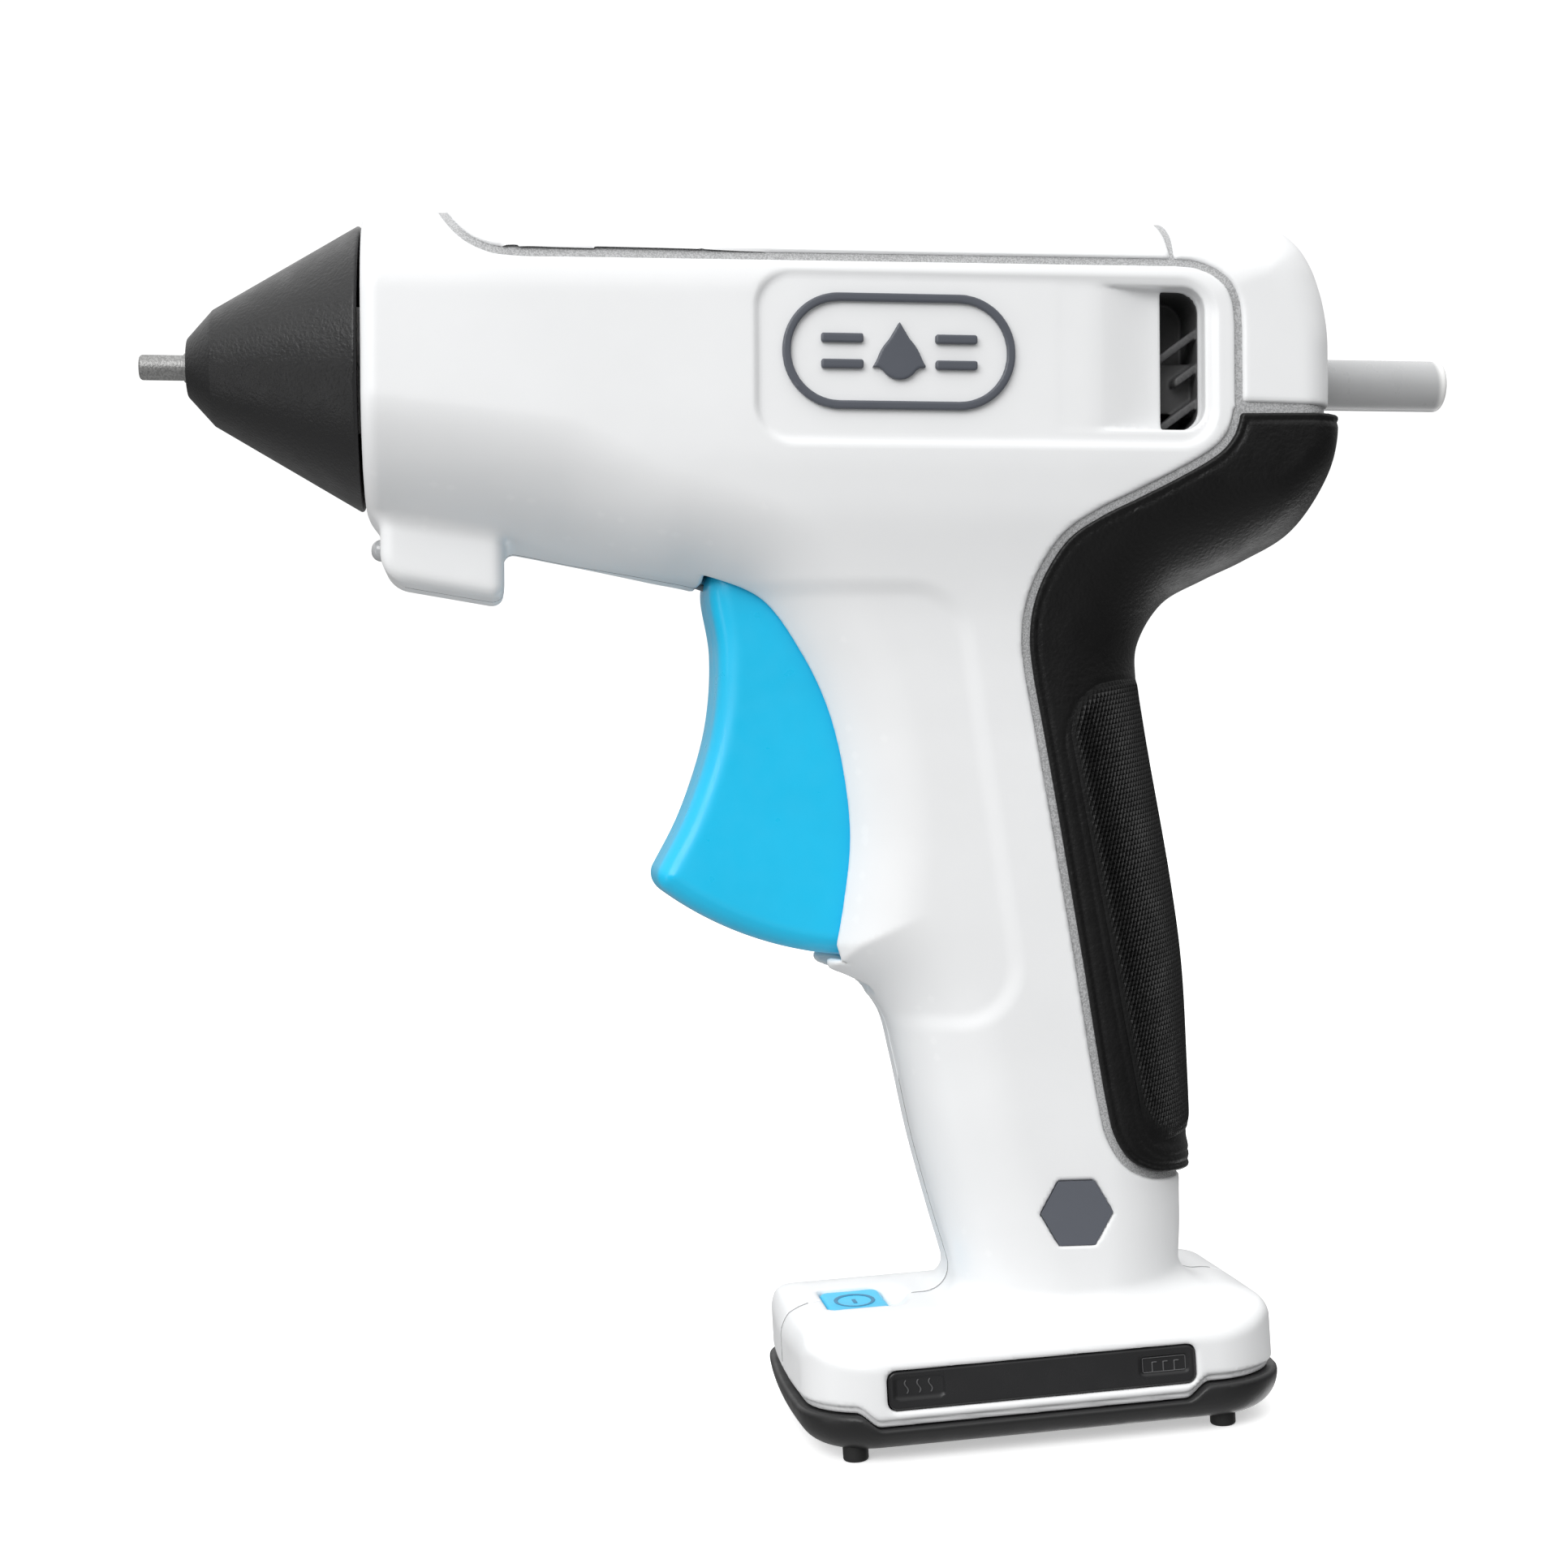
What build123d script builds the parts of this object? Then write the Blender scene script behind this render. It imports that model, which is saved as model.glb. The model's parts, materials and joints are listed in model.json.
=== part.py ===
from build123d import *
import math
import os

# Cordless hot-melt glue gun for 7.2 mm sticks. Millimetres, +Z up, nozzle towards -X.
# "Gun frame": X runs along the barrel axis, z = 0 on it. stand() tips the gun nose-up on its
# level base and puts the origin on the floor, midway between nozzle tip and stick end.

# Stance
TILT = 3.1
AXIS_HEIGHT = 145.6
STAND_SHIFT = -0.111

# Fits
RUNNING = 0.05
SPLIT = 0.1

# Glue stick and hot end, radii and stations along the axis
STICK_R = 3.6
STICK_END = 92.0
STICK_LENGTH = 102.0
USED_STICK_FRONT = -55.0
BORE_R = STICK_R + 0.4
TIP_X = -91.9
TIP_R = 1.7
TIP_SHOULDER_X = -86.0
TIP_SHOULDER_R = 1.95
TIP_BORE_R = 0.7
CONE_FRONT = -85.5
CONE_BACK = -62.2
CONE_FRONT_R = 3.9
CONE_STEP_X = -82.0
CONE_STEP_R = 7.8
CONE_BACK_R = 19.4
CHAMBER_BACK = -26.0
COLLAR_FRONT = -59.8
COLLAR_BACK = -57.7

# Shell
WALL = 2.0
FRAME_INSET = WALL + SPLIT
FRAME_WALL = 1.4
GROOVE = 1.1
BARREL_FRONT = -62.0
BARREL_BACK = 74.0
BARREL_TOP = 22.6
BARREL_BOTTOM = -21.0
BARREL_WIDTH = 42.0
BARREL_CORNER = 12.5
HALF = 40.0
PANEL_DEPTH = 0.7
BADGE_X = 8.2
INLAY_X = 32.3
INLAY_Z = -114.6
INLAY_FACE = 16.8

# Handle sections across the barrel normal: height, front x, rear x, width
HANDLE_SECTIONS = [
    (-14.0, -60.5, 73.0, 41.0),
    (-21.0, -59.0, 67.8, 39.5),
    (-25.5, -42.0, 60.8, 37.0),
    (-29.7, -16.5, 54.0, 35.0),
    (-34.0, -7.5, 47.8, 33.5),
    (-40.0, -3.5, 45.4, 32.5),
    (-50.0, 0.6, 46.8, 32.0),
    (-62.7, 2.9, 49.2, 32.0),
    (-72.0, 2.2, 50.7, 32.0),
    (-80.5, 0.5, 51.8, 32.0),
    (-86.0, 6.3, 52.3, 32.0),
    (-95.0, 9.6, 52.7, 32.0),
    (-112.0, 13.7, 52.4, 33.0),
    (-129.5, 18.0, 51.3, 35.0),
]
HANDLE_CORNER = 13.0

# Trigger and feed
PIVOT_X = 5.6
PIVOT_Z = -33.9
PIVOT_R = 2.0
TRIGGER_HALF = 9.0
TRIGGER_SWEEP_R = 46.5
ARM_LEAN = 9.0
ARM_IN = 8.0
ARM_OUT = 11.0
RAIL_R = 1.5
RAIL_Z = 10.5
CARRIAGE_FRONT = 5.0
CARRIAGE_BACK = 17.0
CARRIAGE_HALF = 6.8
CARRIAGE_HALF_HEIGHT = 13.0
FEED_PIN_X = PIVOT_X - PIVOT_Z * math.tan(math.radians(ARM_LEAN))
CLAMP_X = 18.85
CLAMP_Z = 6.6
CLAMP_PIN_R = 0.8
FRONT_PLATE_X = -16.0
REAR_PLATE_X = 34.0
PLATE = 3.0

# Base, in the standing frame
BASE_FRONT = -12.7
BASE_BACK = 52.2
BASE_BOW = 1.4
BASE_HALF = 23.6
BASE_CORNER = 9.0
BASE_SPLIT_Z = 7.5
BASE_SHOULDER_Z = 13.4
BASE_TOP_Z = 16.6
TRAY_BOTTOM_Z = 1.6
TRAY_FLARE = 0.8
FOOT_R = 1.7
FOOT_FRONT = -6.3
FOOT_BACK = 43.7
FOOT_Y = 19.0
BUTTON_X = -2.5
BUTTON_LENGTH = 9.6
BUTTON_WIDTH = 14.0
WINDOW_FRONT = -2.3
WINDOW_BACK = 39.3
WINDOW_LOW = 6.9
WINDOW_HIGH = 12.3
BOARD_Z = 9.0
BOARD = 1.2

# Screws: x, z in the gun frame
SHELL_SCREWS = [(-44.0, -15.8), (24.0, -17.0), (14.5, -91.0), (22.0, -120.5), (-54.6, 14.8)]
SCREW_R = 1.2
HEAD_R = 2.1
HEAD_BORE_R = 2.3
BOSS_R = 2.9
TRAY_SCREWS = [(-6.3, 13.0), (-6.3, -13.0), (43.7, 13.0), (43.7, -13.0)]

parts = {}


def stand(shape):
    """From the gun frame to the standing frame."""
    return Pos(STAND_SHIFT, 0, AXIS_HEIGHT) * Rot(0, TILT, 0) * shape


def keep(name, shape):
    """Files a solid, or a group of separate solids, under its node name."""
    shapes = shape if isinstance(shape, list) else [shape]
    solids = [solid for one in shapes for solid in one.solids()]
    parts[name] = Compound(children=solids) if len(solids) > 1 else solids[0]


def block(x0, x1, y0, y1, z0, z1):
    return Pos((x0 + x1) / 2, (y0 + y1) / 2, (z0 + z1) / 2) * Box(x1 - x0, y1 - y0, z1 - z0)


def rod_x(radius, x0, x1, y=0.0, z=0.0):
    return Pos((x0 + x1) / 2, y, z) * Rot(0, 90, 0) * Cylinder(radius, x1 - x0)


def rod_y(radius, y0, y1, x=0.0, z=0.0):
    return Pos(x, (y0 + y1) / 2, z) * Rot(90, 0, 0) * Cylinder(radius, y1 - y0)


def rod_z(radius, z0, z1, x=0.0, y=0.0):
    return Pos(x, y, (z0 + z1) / 2) * Cylinder(radius, z1 - z0)


def turned(points):
    """Solid of revolution about the barrel axis from (x, radius) points."""
    face = make_face(Plane.XZ * Polyline(*points, close=True))
    return revolve(face, Axis.X)


def side_face(points):
    """Face in the gun's side view from (x, z) points."""
    return make_face(Polyline(*points, close=True))


def across(face, y0=-HALF, y1=HALF):
    """Side-view face carried across the gun from y0 to y1."""
    flat = Plane(origin=(0, y1, 0), x_dir=(1, 0, 0), z_dir=(0, -1, 0)) * face
    return extrude(flat, y1 - y0, dir=(0, -1, 0))


def barrel(inset):
    """Rounded-box barrel, its rear top edge a large arc."""
    low, high = BARREL_BOTTOM + inset, BARREL_TOP - inset
    front, back = BARREL_FRONT + inset, BARREL_BACK - inset
    section = RectangleRounded(BARREL_WIDTH - 2 * inset, high - low, BARREL_CORNER - inset)
    start = Plane(origin=(front, 0, (low + high) / 2), x_dir=(0, 1, 0), z_dir=(1, 0, 0))
    bar = extrude(start * section, back - front)
    profile = side_face([(front, low), (back, low), (back, high), (front, high)])
    corners = profile.vertices().sort_by(Axis.X)
    rear_top = corners[2:].sort_by(Axis.Y)[-1]
    front_top = corners[:2].sort_by(Axis.Y)[-1]
    profile = fillet(rear_top, 12.5 - inset)
    profile = fillet(profile.vertices().group_by(Axis.X)[0].sort_by(Axis.Y)[-1], 3.2 - inset / 2)
    return bar & across(profile)


def handle(inset):
    """Throat and handle, lofted down through rounded sections."""
    sections = []
    for z, front, back, width in HANDLE_SECTIONS:
        outline = RectangleRounded(back - front - 2 * inset, width - 2 * inset, HANDLE_CORNER - inset)
        sections.append(Plane(origin=((front + back) / 2, 0, z)) * outline)
    return loft(sections, ruled=True)


def light_box(inset):
    """Box for the work light, under the front of the barrel."""
    face = side_face([
        (-59.6 + inset, -12), (-59.6 + inset, -27.5 + inset), (-57.4 + inset, -29.6 + inset),
        (-44.2 - inset, -31.6 + inset), (-44.2 - inset, -12),
    ])
    return across(face, -9.0 + inset, 9.0 - inset)


def gun_body(inset):
    return barrel(inset) + handle(inset) + light_box(inset)


def cover_face():
    """Side view of the top cover strip, its front end swept up in an arc."""
    front = ThreePointArc((-51.0, 24.0), (-48.6, 17.6), (-42.2, 15.1))
    rest = Polyline((-42.2, 15.1), (48.0, 15.1), (48.8, 24.0), (-51.0, 24.0))
    return make_face(front + rest)


def cap_face():
    """Side view of the rear cap."""
    front = Line((49.2, 24.0), (48.4, 14.6))
    shoulder = ThreePointArc((48.4, 14.6), (54.2, 12.0), (56.2, 6.0))
    rest = Polyline((56.2, 6.0), (56.2, -5.8), (76.0, -6.4), (76.0, 24.0), (49.2, 24.0))
    return make_face(front + shoulder + rest)


def grip_face():
    """Side view of the rubber grip down the back of the handle."""
    outline = side_face([
        (56.3, -7.9), (54.6, -11.2), (25.2, -29.8), (37.4, -110.6),
        (60.0, -111.4), (80.0, -40.0), (80.0, -6.9),
    ])
    for corner, radius in (((25.2, -29.8), 12.0), ((37.4, -110.6), 8.0)):
        outline = fillet(outline.vertices().sort_by_distance(corner)[0], radius)
    return outline


def panel_face():
    """Side view of the recessed panel that carries the badge and the vent."""
    return Pos(21.0, 0.2) * RectangleRounded(63.3, 23.8, 5.0)


def inlay_face():
    """Side view of the hexagonal inlay low on the handle."""
    return Pos(INLAY_X, INLAY_Z) * RegularPolygon(5.0, 6)


def badge_face():
    """Side view of the badge: a pill outline around a glue drop and four bars."""
    mark = SlotOverall(31.0, 15.2) - SlotOverall(28.8, 13.0)
    drop = Circle(2.6) + make_face(Polyline((-2.4, 1.0), (2.4, 1.0), (0, 5.0), close=True))
    mark = mark + Pos(0, -1.1) * drop
    for x in (-7.6, 7.6):
        for z in (-1.7, 1.7):
            mark = mark + Pos(x, z) * Rectangle(5.6, 1.2)
    return Pos(BADGE_X, 0.0) * mark


def posts(radius, y0, y1, places):
    return [rod_y(radius, y0, y1, x, z) for x, z in places]


def joined(shapes):
    total = shapes[0]
    for shape in shapes[1:]:
        total = total + shape
    return total


def base_outline(inset):
    """Plan of the base: a rounded rectangle with gently bowed ends."""
    x0, x1, w = BASE_FRONT + inset, BASE_BACK - inset, BASE_HALF - inset
    edges = [
        Line((x0, w), (x1, w)), ThreePointArc((x1, w), (x1 + BASE_BOW, 0), (x1, -w)),
        Line((x1, -w), (x0, -w)), ThreePointArc((x0, -w), (x0 - BASE_BOW, 0), (x0, w)),
    ]
    face = make_face(edges[0] + edges[1] + edges[2] + edges[3])
    return fillet(face.vertices(), BASE_CORNER - inset)


def base_block(inset, low, shoulder, top):
    """Solid over the base plan with a sloping shoulder up to its top."""
    wall = extrude(Pos(0, 0, low) * base_outline(inset), shoulder - low)
    foot, crown = Pos(0, 0, shoulder) * base_outline(inset), Pos(0, 0, top) * base_outline(inset + 3)
    dome = loft([foot, crown], ruled=True)
    return wall + dome


def make_shells():
    outer, lining = gun_body(0), gun_body(WALL)
    skin = outer - lining
    frame_shell = gun_body(FRAME_INSET) - gun_body(FRAME_INSET + FRAME_WALL)
    cover, cap, grip = cover_face(), cap_face(), grip_face()
    stick_hole = rod_x(STICK_R + 0.8, 60, 80)

    keep("top_cover", stand(skin & across(cover)))
    keep("rear_cap", stand((skin & across(cap)) - stick_hole))
    keep("grip_overmould", stand(skin & across(grip)))

    openings = across(joined([offset(face, GROOVE) for face in (cover, cap, grip)]))
    backing = across(joined([offset(face, 3 * GROOVE) for face in (cover, cap, grip)]))
    keep("spine_frame", stand((frame_shell & backing) - stick_hole))
    body = stand(skin - openings)
    base = base_block(0, BASE_SPLIT_Z, BASE_SHOULDER_Z, BASE_TOP_Z)
    hollow = base_block(WALL, BASE_SPLIT_Z - 1, BASE_SHOULDER_Z - 1, BASE_TOP_Z - WALL)
    dip = block(WINDOW_FRONT - 1, WINDOW_BACK + 1, -BASE_HALF, -BASE_HALF + WALL,
                WINDOW_LOW - 1.5, BASE_SPLIT_Z)
    body = body + base + dip - hollow - stand(handle(WALL))

    # Trigger slot, swept about the pivot
    sweep = Pos(PIVOT_X, PIVOT_Z) * Circle(TRIGGER_SWEEP_R + 0.5)
    reach = sweep & (Pos(-4.5, -52.5) * Rectangle(24.4, 57.0))
    slot = across(reach, -TRIGGER_HALF - 0.5, TRIGGER_HALF + 0.5)
    body = body - stand(slot)

    # Openings for the cone, work light, button, window, charging socket and vents
    body = body - stand(rod_x(16.5, BARREL_FRONT - 5, BARREL_FRONT + 3))
    body = body - stand(rod_x(1.7, -64, -54, z=-24.5))
    body = body - Pos(BUTTON_X, 0, BASE_TOP_Z - 2) * Box(BUTTON_LENGTH + 0.7, BUTTON_WIDTH + 0.7, 8)
    body = body - block(WINDOW_FRONT, WINDOW_BACK, -BASE_HALF - 1, -BASE_HALF + 3, WINDOW_LOW, WINDOW_HIGH)
    socket_low = BOARD_Z + BOARD - 0.1
    body = body - block(BASE_BACK - 4, BASE_BACK + 4, -4.8, 4.8, socket_low, socket_low + 3.7)
    for side in (-1, 1):
        face = side * (BARREL_WIDTH / 2 - PANEL_DEPTH)
        body = body - stand(across(panel_face(), *sorted((face, side * HALF))))
        body = body - stand(Pos(46.6, side * 20.5, -0.4) * Box(5.2, 6, 18.0))
        body = body - stand(across(inlay_face(), *sorted((side * (INLAY_FACE - 0.8), side * HALF))))

    # Bosses for the shell screws, and posts for the trigger pin
    core = gun_body(WALL - 0.2)
    bosses = [post & core for post in posts(BOSS_R, -HALF, HALF, SHELL_SCREWS)]
    body = body + stand(joined(bosses))
    for side in (-1, 1):
        y0, y1 = sorted((side * (ARM_OUT + 0.4), side * HALF))
        body = body + stand(rod_y(4.5, y0, y1, PIVOT_X, PIVOT_Z) & core)
    body = body - stand(rod_y(PIVOT_R + 0.02, -13.6, 13.6, PIVOT_X, PIVOT_Z))
    body = body - stand(joined(posts(SCREW_R + RUNNING, -9.0, 0.0, SHELL_SCREWS)))
    body = body - stand(joined(posts(SCREW_R + 0.3, 0.0, 6.0, SHELL_SCREWS)))
    body = body - stand(joined(posts(HEAD_BORE_R, 5.0, HALF, SHELL_SCREWS)))
    keep("left_housing", body & block(-120, 120, -HALF, 0, -5, 200))
    keep("right_housing", body & block(-120, 120, 0, HALF, -5, 200))

    screws = []
    for x, z in SHELL_SCREWS:
        screws.append(stand(rod_y(SCREW_R, -8.5, 5.2, x, z) + rod_y(HEAD_R, 5.1, 7.0, x, z)))
    keep("housing_screws", screws)


def make_hot_end():
    keep("nozzle_cone", stand(turned([
        (CONE_FRONT, TIP_SHOULDER_R + 0.2), (CONE_FRONT, CONE_FRONT_R), (CONE_STEP_X, CONE_STEP_R),
        (CONE_BACK, CONE_BACK_R), (CONE_BACK, CONE_BACK_R - 2.1), (CONE_STEP_X + 1.2, CONE_STEP_R - 1.0),
        (CONE_FRONT + 1.8, CONE_FRONT_R - 0.4), (CONE_FRONT + 1.8, TIP_SHOULDER_R + 0.2),
    ])))
    keep("nozzle_tip", stand(turned([
        (TIP_X, TIP_BORE_R), (TIP_X, TIP_R - 0.35), (TIP_X + 0.35, TIP_R), (TIP_SHOULDER_X, TIP_R),
        (TIP_SHOULDER_X, TIP_SHOULDER_R), (-83.4, TIP_SHOULDER_R), (-83.4, 3.1),
        (-80.2, 3.1), (-80.2, 1.6), (-89.0, TIP_BORE_R),
    ])))
    body = turned([
        (-80.0, 1.6), (-80.0, 5.0), (-77.0, 6.0), (-68.0, 8.5), (CHAMBER_BACK, 8.5),
        (CHAMBER_BACK, BORE_R), (-67.0, BORE_R), (-74.0, 1.6),
    ])
    pad = block(-55.5, -34, -6, 6, 4, 9.2) - rod_x(6.5, -70, -20)
    keep("melt_chamber", stand(body + pad))
    keep("ptc_heater", stand(block(-55, -35, -5.5, 5.5, 9.25, 11.8)))
    clip = block(-52, -40, -10.2, 10.2, 11.85, 12.65)
    for side in (-1, 1):
        clip = clip + block(-52, -40, *sorted((side * 9.4, side * 10.2)), -6, 12.65)
    keep("heater_clip", stand(clip))
    keep("thermal_fuse", stand(rod_x(1.9, -33, -24, z=11.2)))
    collar = rod_x(17.6, COLLAR_FRONT, COLLAR_BACK) - rod_x(13.8, -60, -56)
    spoke = block(COLLAR_FRONT, COLLAR_BACK, 9.4, 14.2, -1.5, 1.5)
    spokes = joined([Rot(angle, 0, 0) * spoke for angle in (45, 135, 225, 315)])
    inner = rod_x(9.8, COLLAR_FRONT, COLLAR_BACK) - rod_x(9.0, -60, -56)
    keep("front_collar", stand(collar + spokes + inner))
    sleeve = rod_x(6.4, CHAMBER_BACK + 0.1, FRONT_PLATE_X + PLATE + 1.5)
    sleeve = sleeve + rod_x(8.0, CHAMBER_BACK + 0.1, FRONT_PLATE_X - 2.0)
    keep("inlet_sleeve", stand(sleeve - rod_x(BORE_R, -40, 0)))


def make_feed():
    plate = block(FRONT_PLATE_X, FRONT_PLATE_X + PLATE, -15, 15, -14, 14) - rod_x(6.5, -20, 0)
    for z in (-RAIL_Z, RAIL_Z):
        plate = plate - rod_x(RAIL_R, FRONT_PLATE_X - 1, 0, z=z)
    keep("front_plate", stand(plate))
    guide = block(REAR_PLATE_X, REAR_PLATE_X + PLATE, -15, 15, -14, 14) + rod_x(5.4, REAR_PLATE_X, 66)
    guide = guide - rod_x(BORE_R + 0.2, 30, 70)
    for z in (-RAIL_Z, RAIL_Z):
        guide = guide - rod_x(RAIL_R, 30, 40, z=z)
    keep("stick_guide", stand(guide))
    rails = [rod_x(RAIL_R, FRONT_PLATE_X, REAR_PLATE_X + PLATE, z=z) for z in (-RAIL_Z, RAIL_Z)]
    keep("carriage_rails", [stand(r) for r in rails])

    slider = block(CARRIAGE_FRONT, CARRIAGE_BACK, -CARRIAGE_HALF, CARRIAGE_HALF,
                   -CARRIAGE_HALF_HEIGHT, CARRIAGE_HALF_HEIGHT)
    for side in (-1, 1):
        slider = slider + block(CARRIAGE_BACK - 1, CLAMP_X + 1.8,
                                *sorted((side * 5.9, side * CARRIAGE_HALF)), 4.6, 8.6)
        slider = slider + rod_y(2.0, *sorted((side * 6.0, side * 12.2)), x=FEED_PIN_X)
    slider = slider - rod_x(BORE_R, 0, 30)
    for z in (-RAIL_Z, RAIL_Z):
        slider = slider - rod_x(RAIL_R + RUNNING, 0, 30, z=z)
    slider = slider - rod_y(CLAMP_PIN_R + 0.01, -10, 10, CLAMP_X, CLAMP_Z)
    keep("feed_carriage", stand(slider))
    keep("clamp_pin", stand(rod_y(CLAMP_PIN_R, -CARRIAGE_HALF, CARRIAGE_HALF, CLAMP_X, CLAMP_Z)))
    clamp = block(CLAMP_X - 1.25, CLAMP_X + 1.25, -5.5, 5.5, -7.0, 8.3) - rod_x(BORE_R + 0.1, 10, 30)
    keep("stick_clamp", stand(clamp - rod_y(CLAMP_PIN_R + RUNNING, -10, 10, CLAMP_X, CLAMP_Z)))

    start, turns = FRONT_PLATE_X + PLATE + 0.5, 9
    length = CARRIAGE_FRONT - 0.5 - start
    coil = Helix(pitch=length / turns, height=length, radius=2.6)
    wire = sweep(Plane(origin=coil @ 0, z_dir=coil % 0) * Circle(0.35), path=coil)
    keep("return_spring", stand(Pos(start, 0, -RAIL_Z) * Rot(0, 90, 0) * wire))

    keep("rear_stick", stand(rod_x(STICK_R, STICK_END - STICK_LENGTH, STICK_END)))
    keep("front_stick", stand(rod_x(STICK_R, USED_STICK_FRONT, STICK_END - STICK_LENGTH - 0.2)))


def make_trigger():
    front = Spline((-16.0, -30.0), (-14.8, -38.5), (-15.6, -49.0), (-19.2, -60.4), (-23.3, -68.6))
    back = Polyline((-23.3, -68.6), (-23.6, -84.0), (8.5, -84.0), (9.0, -60.0), (8.0, -44.0), (9.5, -38.0),
                    (9.5, -28.0), (-12.9, -23.2))
    hood = ThreePointArc((-12.9, -23.2), (-15.0, -26.7), (-16.0, -30.0))
    blade = make_face(front + back + hood) & (Pos(PIVOT_X, PIVOT_Z) * Circle(TRIGGER_SWEEP_R))
    lever = across(blade, -TRIGGER_HALF, TRIGGER_HALF)
    lever = lever + rod_y(5.2, -ARM_OUT, ARM_OUT, PIVOT_X, PIVOT_Z)
    arm = Pos(0, 19.0) * Rectangle(8.4, 38.0)
    arm = arm - Pos(0, 36.0) * Rectangle(4.7, 9.0)
    arm = Pos(PIVOT_X, PIVOT_Z) * Rot(0, 0, -ARM_LEAN) * arm
    for side in (-1, 1):
        lever = lever + across(arm, *sorted((side * ARM_IN, side * ARM_OUT)))
    pocket = (Pos(2.4, 2.2) * blade) & (Pos(0, -62.0) * Rectangle(60, 40))
    lever = lever - across(pocket, 1.8 - TRIGGER_HALF, TRIGGER_HALF - 1.8)
    keep("trigger", stand(lever - rod_y(PIVOT_R + RUNNING, -20, 20, PIVOT_X, PIVOT_Z)))
    keep("trigger_pin", stand(rod_y(PIVOT_R, -13.5, 13.5, PIVOT_X, PIVOT_Z)))


def make_light():
    lamp = rod_x(1.5, -59.8, -56.0, z=-24.5) + rod_x(1.8, -56.4, -56.0, z=-24.5)
    lamp = lamp + (Pos(-59.8, 0, -24.5) * Sphere(1.5))
    keep("worklight_led", stand(lamp))
    keep("worklight_board", stand(block(-55.9, -54.9, -5, 5, -26.9, -20.5)))


def make_power():
    lean = Pos(35.2, 0, -82.5) * Rot(0, -3.9, 0)
    keep("battery_cell", stand(lean * Cylinder(9.15, 65.0)))
    ends = [lean * (Pos(0, 0, s * 33.2) * Box(12, 9, 0.8)) for s in (-1, 1)]
    keep("battery_contacts", [stand(e) for e in ends])


def make_base():
    floor_outline = Pos(0, 0, TRAY_BOTTOM_Z) * base_outline(-TRAY_FLARE)
    tray = extrude(floor_outline, BASE_SPLIT_Z - SPLIT - TRAY_BOTTOM_Z)
    tray = fillet(tray.edges().group_by(Axis.Z)[0], 3.6)
    tray = tray - extrude(Pos(0, 0, TRAY_BOTTOM_Z + WALL) * base_outline(WALL), 10)
    tray = tray - block(WINDOW_FRONT - 1.3, WINDOW_BACK + 1.3, -BASE_HALF - 2, -BASE_HALF + 2.3,
                        WINDOW_LOW - 1.8, 10)
    for x, y in TRAY_SCREWS:
        tray = tray + rod_z(3.2, TRAY_BOTTOM_Z + 0.2, BOARD_Z, x, y)
    for x, y in TRAY_SCREWS:
        tray = tray - rod_z(SCREW_R + RUNNING, TRAY_BOTTOM_Z - 1, BOARD_Z + 1, x, y)
        tray = tray - rod_z(HEAD_BORE_R, TRAY_BOTTOM_Z - 1, TRAY_BOTTOM_Z + 1.9, x, y)
    feet = []
    for x in (FOOT_FRONT, FOOT_BACK):
        for y in (-FOOT_Y, FOOT_Y):
            tray = tray - rod_z(FOOT_R, 0, TRAY_BOTTOM_Z + 1.2, x, y)
            feet.append(rod_z(FOOT_R, 0, TRAY_BOTTOM_Z + 1.2, x, y))
    keep("base_tray", tray)
    keep("feet", feet)
    screws = []
    for x, y in TRAY_SCREWS:
        head = rod_z(HEAD_R, TRAY_BOTTOM_Z + 0.5, TRAY_BOTTOM_Z + 1.8, x, y)
        screws.append(head + rod_z(SCREW_R, TRAY_BOTTOM_Z + 1.8, BOARD_Z - 0.5, x, y))
    keep("tray_screws", screws)

    board = extrude(Pos(0, 0, BOARD_Z + 0.05) * base_outline(4.0), BOARD)
    keep("control_board", board)
    top = BOARD_Z + BOARD + 0.1
    switch = block(BUTTON_X - 3, BUTTON_X + 3, -3, 3, top, top + 1.6)
    keep("power_switch", switch + rod_z(1.5, top, top + 2.0, BUTTON_X))
    low, high = 13.9, BASE_TOP_Z + 0.5
    cap = Pos(BUTTON_X, 0, (low + high) / 2) * Box(BUTTON_LENGTH, BUTTON_WIDTH, high - low)
    cap = fillet(cap.edges().filter_by(Axis.Z), 1.4)
    cap = chamfer(cap.edges().group_by(Axis.Z)[-1], 0.5)
    flange = block(BUTTON_X - 5.8, BUTTON_X + 5.8, -8, 8, 13.5, 14.2)
    keep("power_button", cap + flange)

    lens = block(WINDOW_FRONT + 0.1, WINDOW_BACK - 0.1, -BASE_HALF + 0.2, -BASE_HALF + 1.6,
                 WINDOW_LOW + 0.1, WINDOW_HIGH - 0.1)
    keep("indicator_window", lens)
    lamps = [block(x, x + 1.6, -19.5, -18.7, top, top + 1.2) for x in (1.0, 3.5, 6.0, 31.0, 33.5, 36.0)]
    keep("indicator_leds", lamps)
    socket = Pos(48.0, 0, top + 1.65) * Box(7.4, 8.9, 3.2)
    socket = fillet(socket.edges().filter_by(Axis.X), 1.5)
    mouth = Pos(49.2, 0, top + 1.65) * Box(6.0, 8.3, 2.6)
    mouth = fillet(mouth.edges().filter_by(Axis.X), 1.2)
    tongue = Pos(47.5, 0, top + 1.65) * Box(6.0, 6.6, 0.7)
    keep("charging_socket", (socket - mouth) + tongue)


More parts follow.
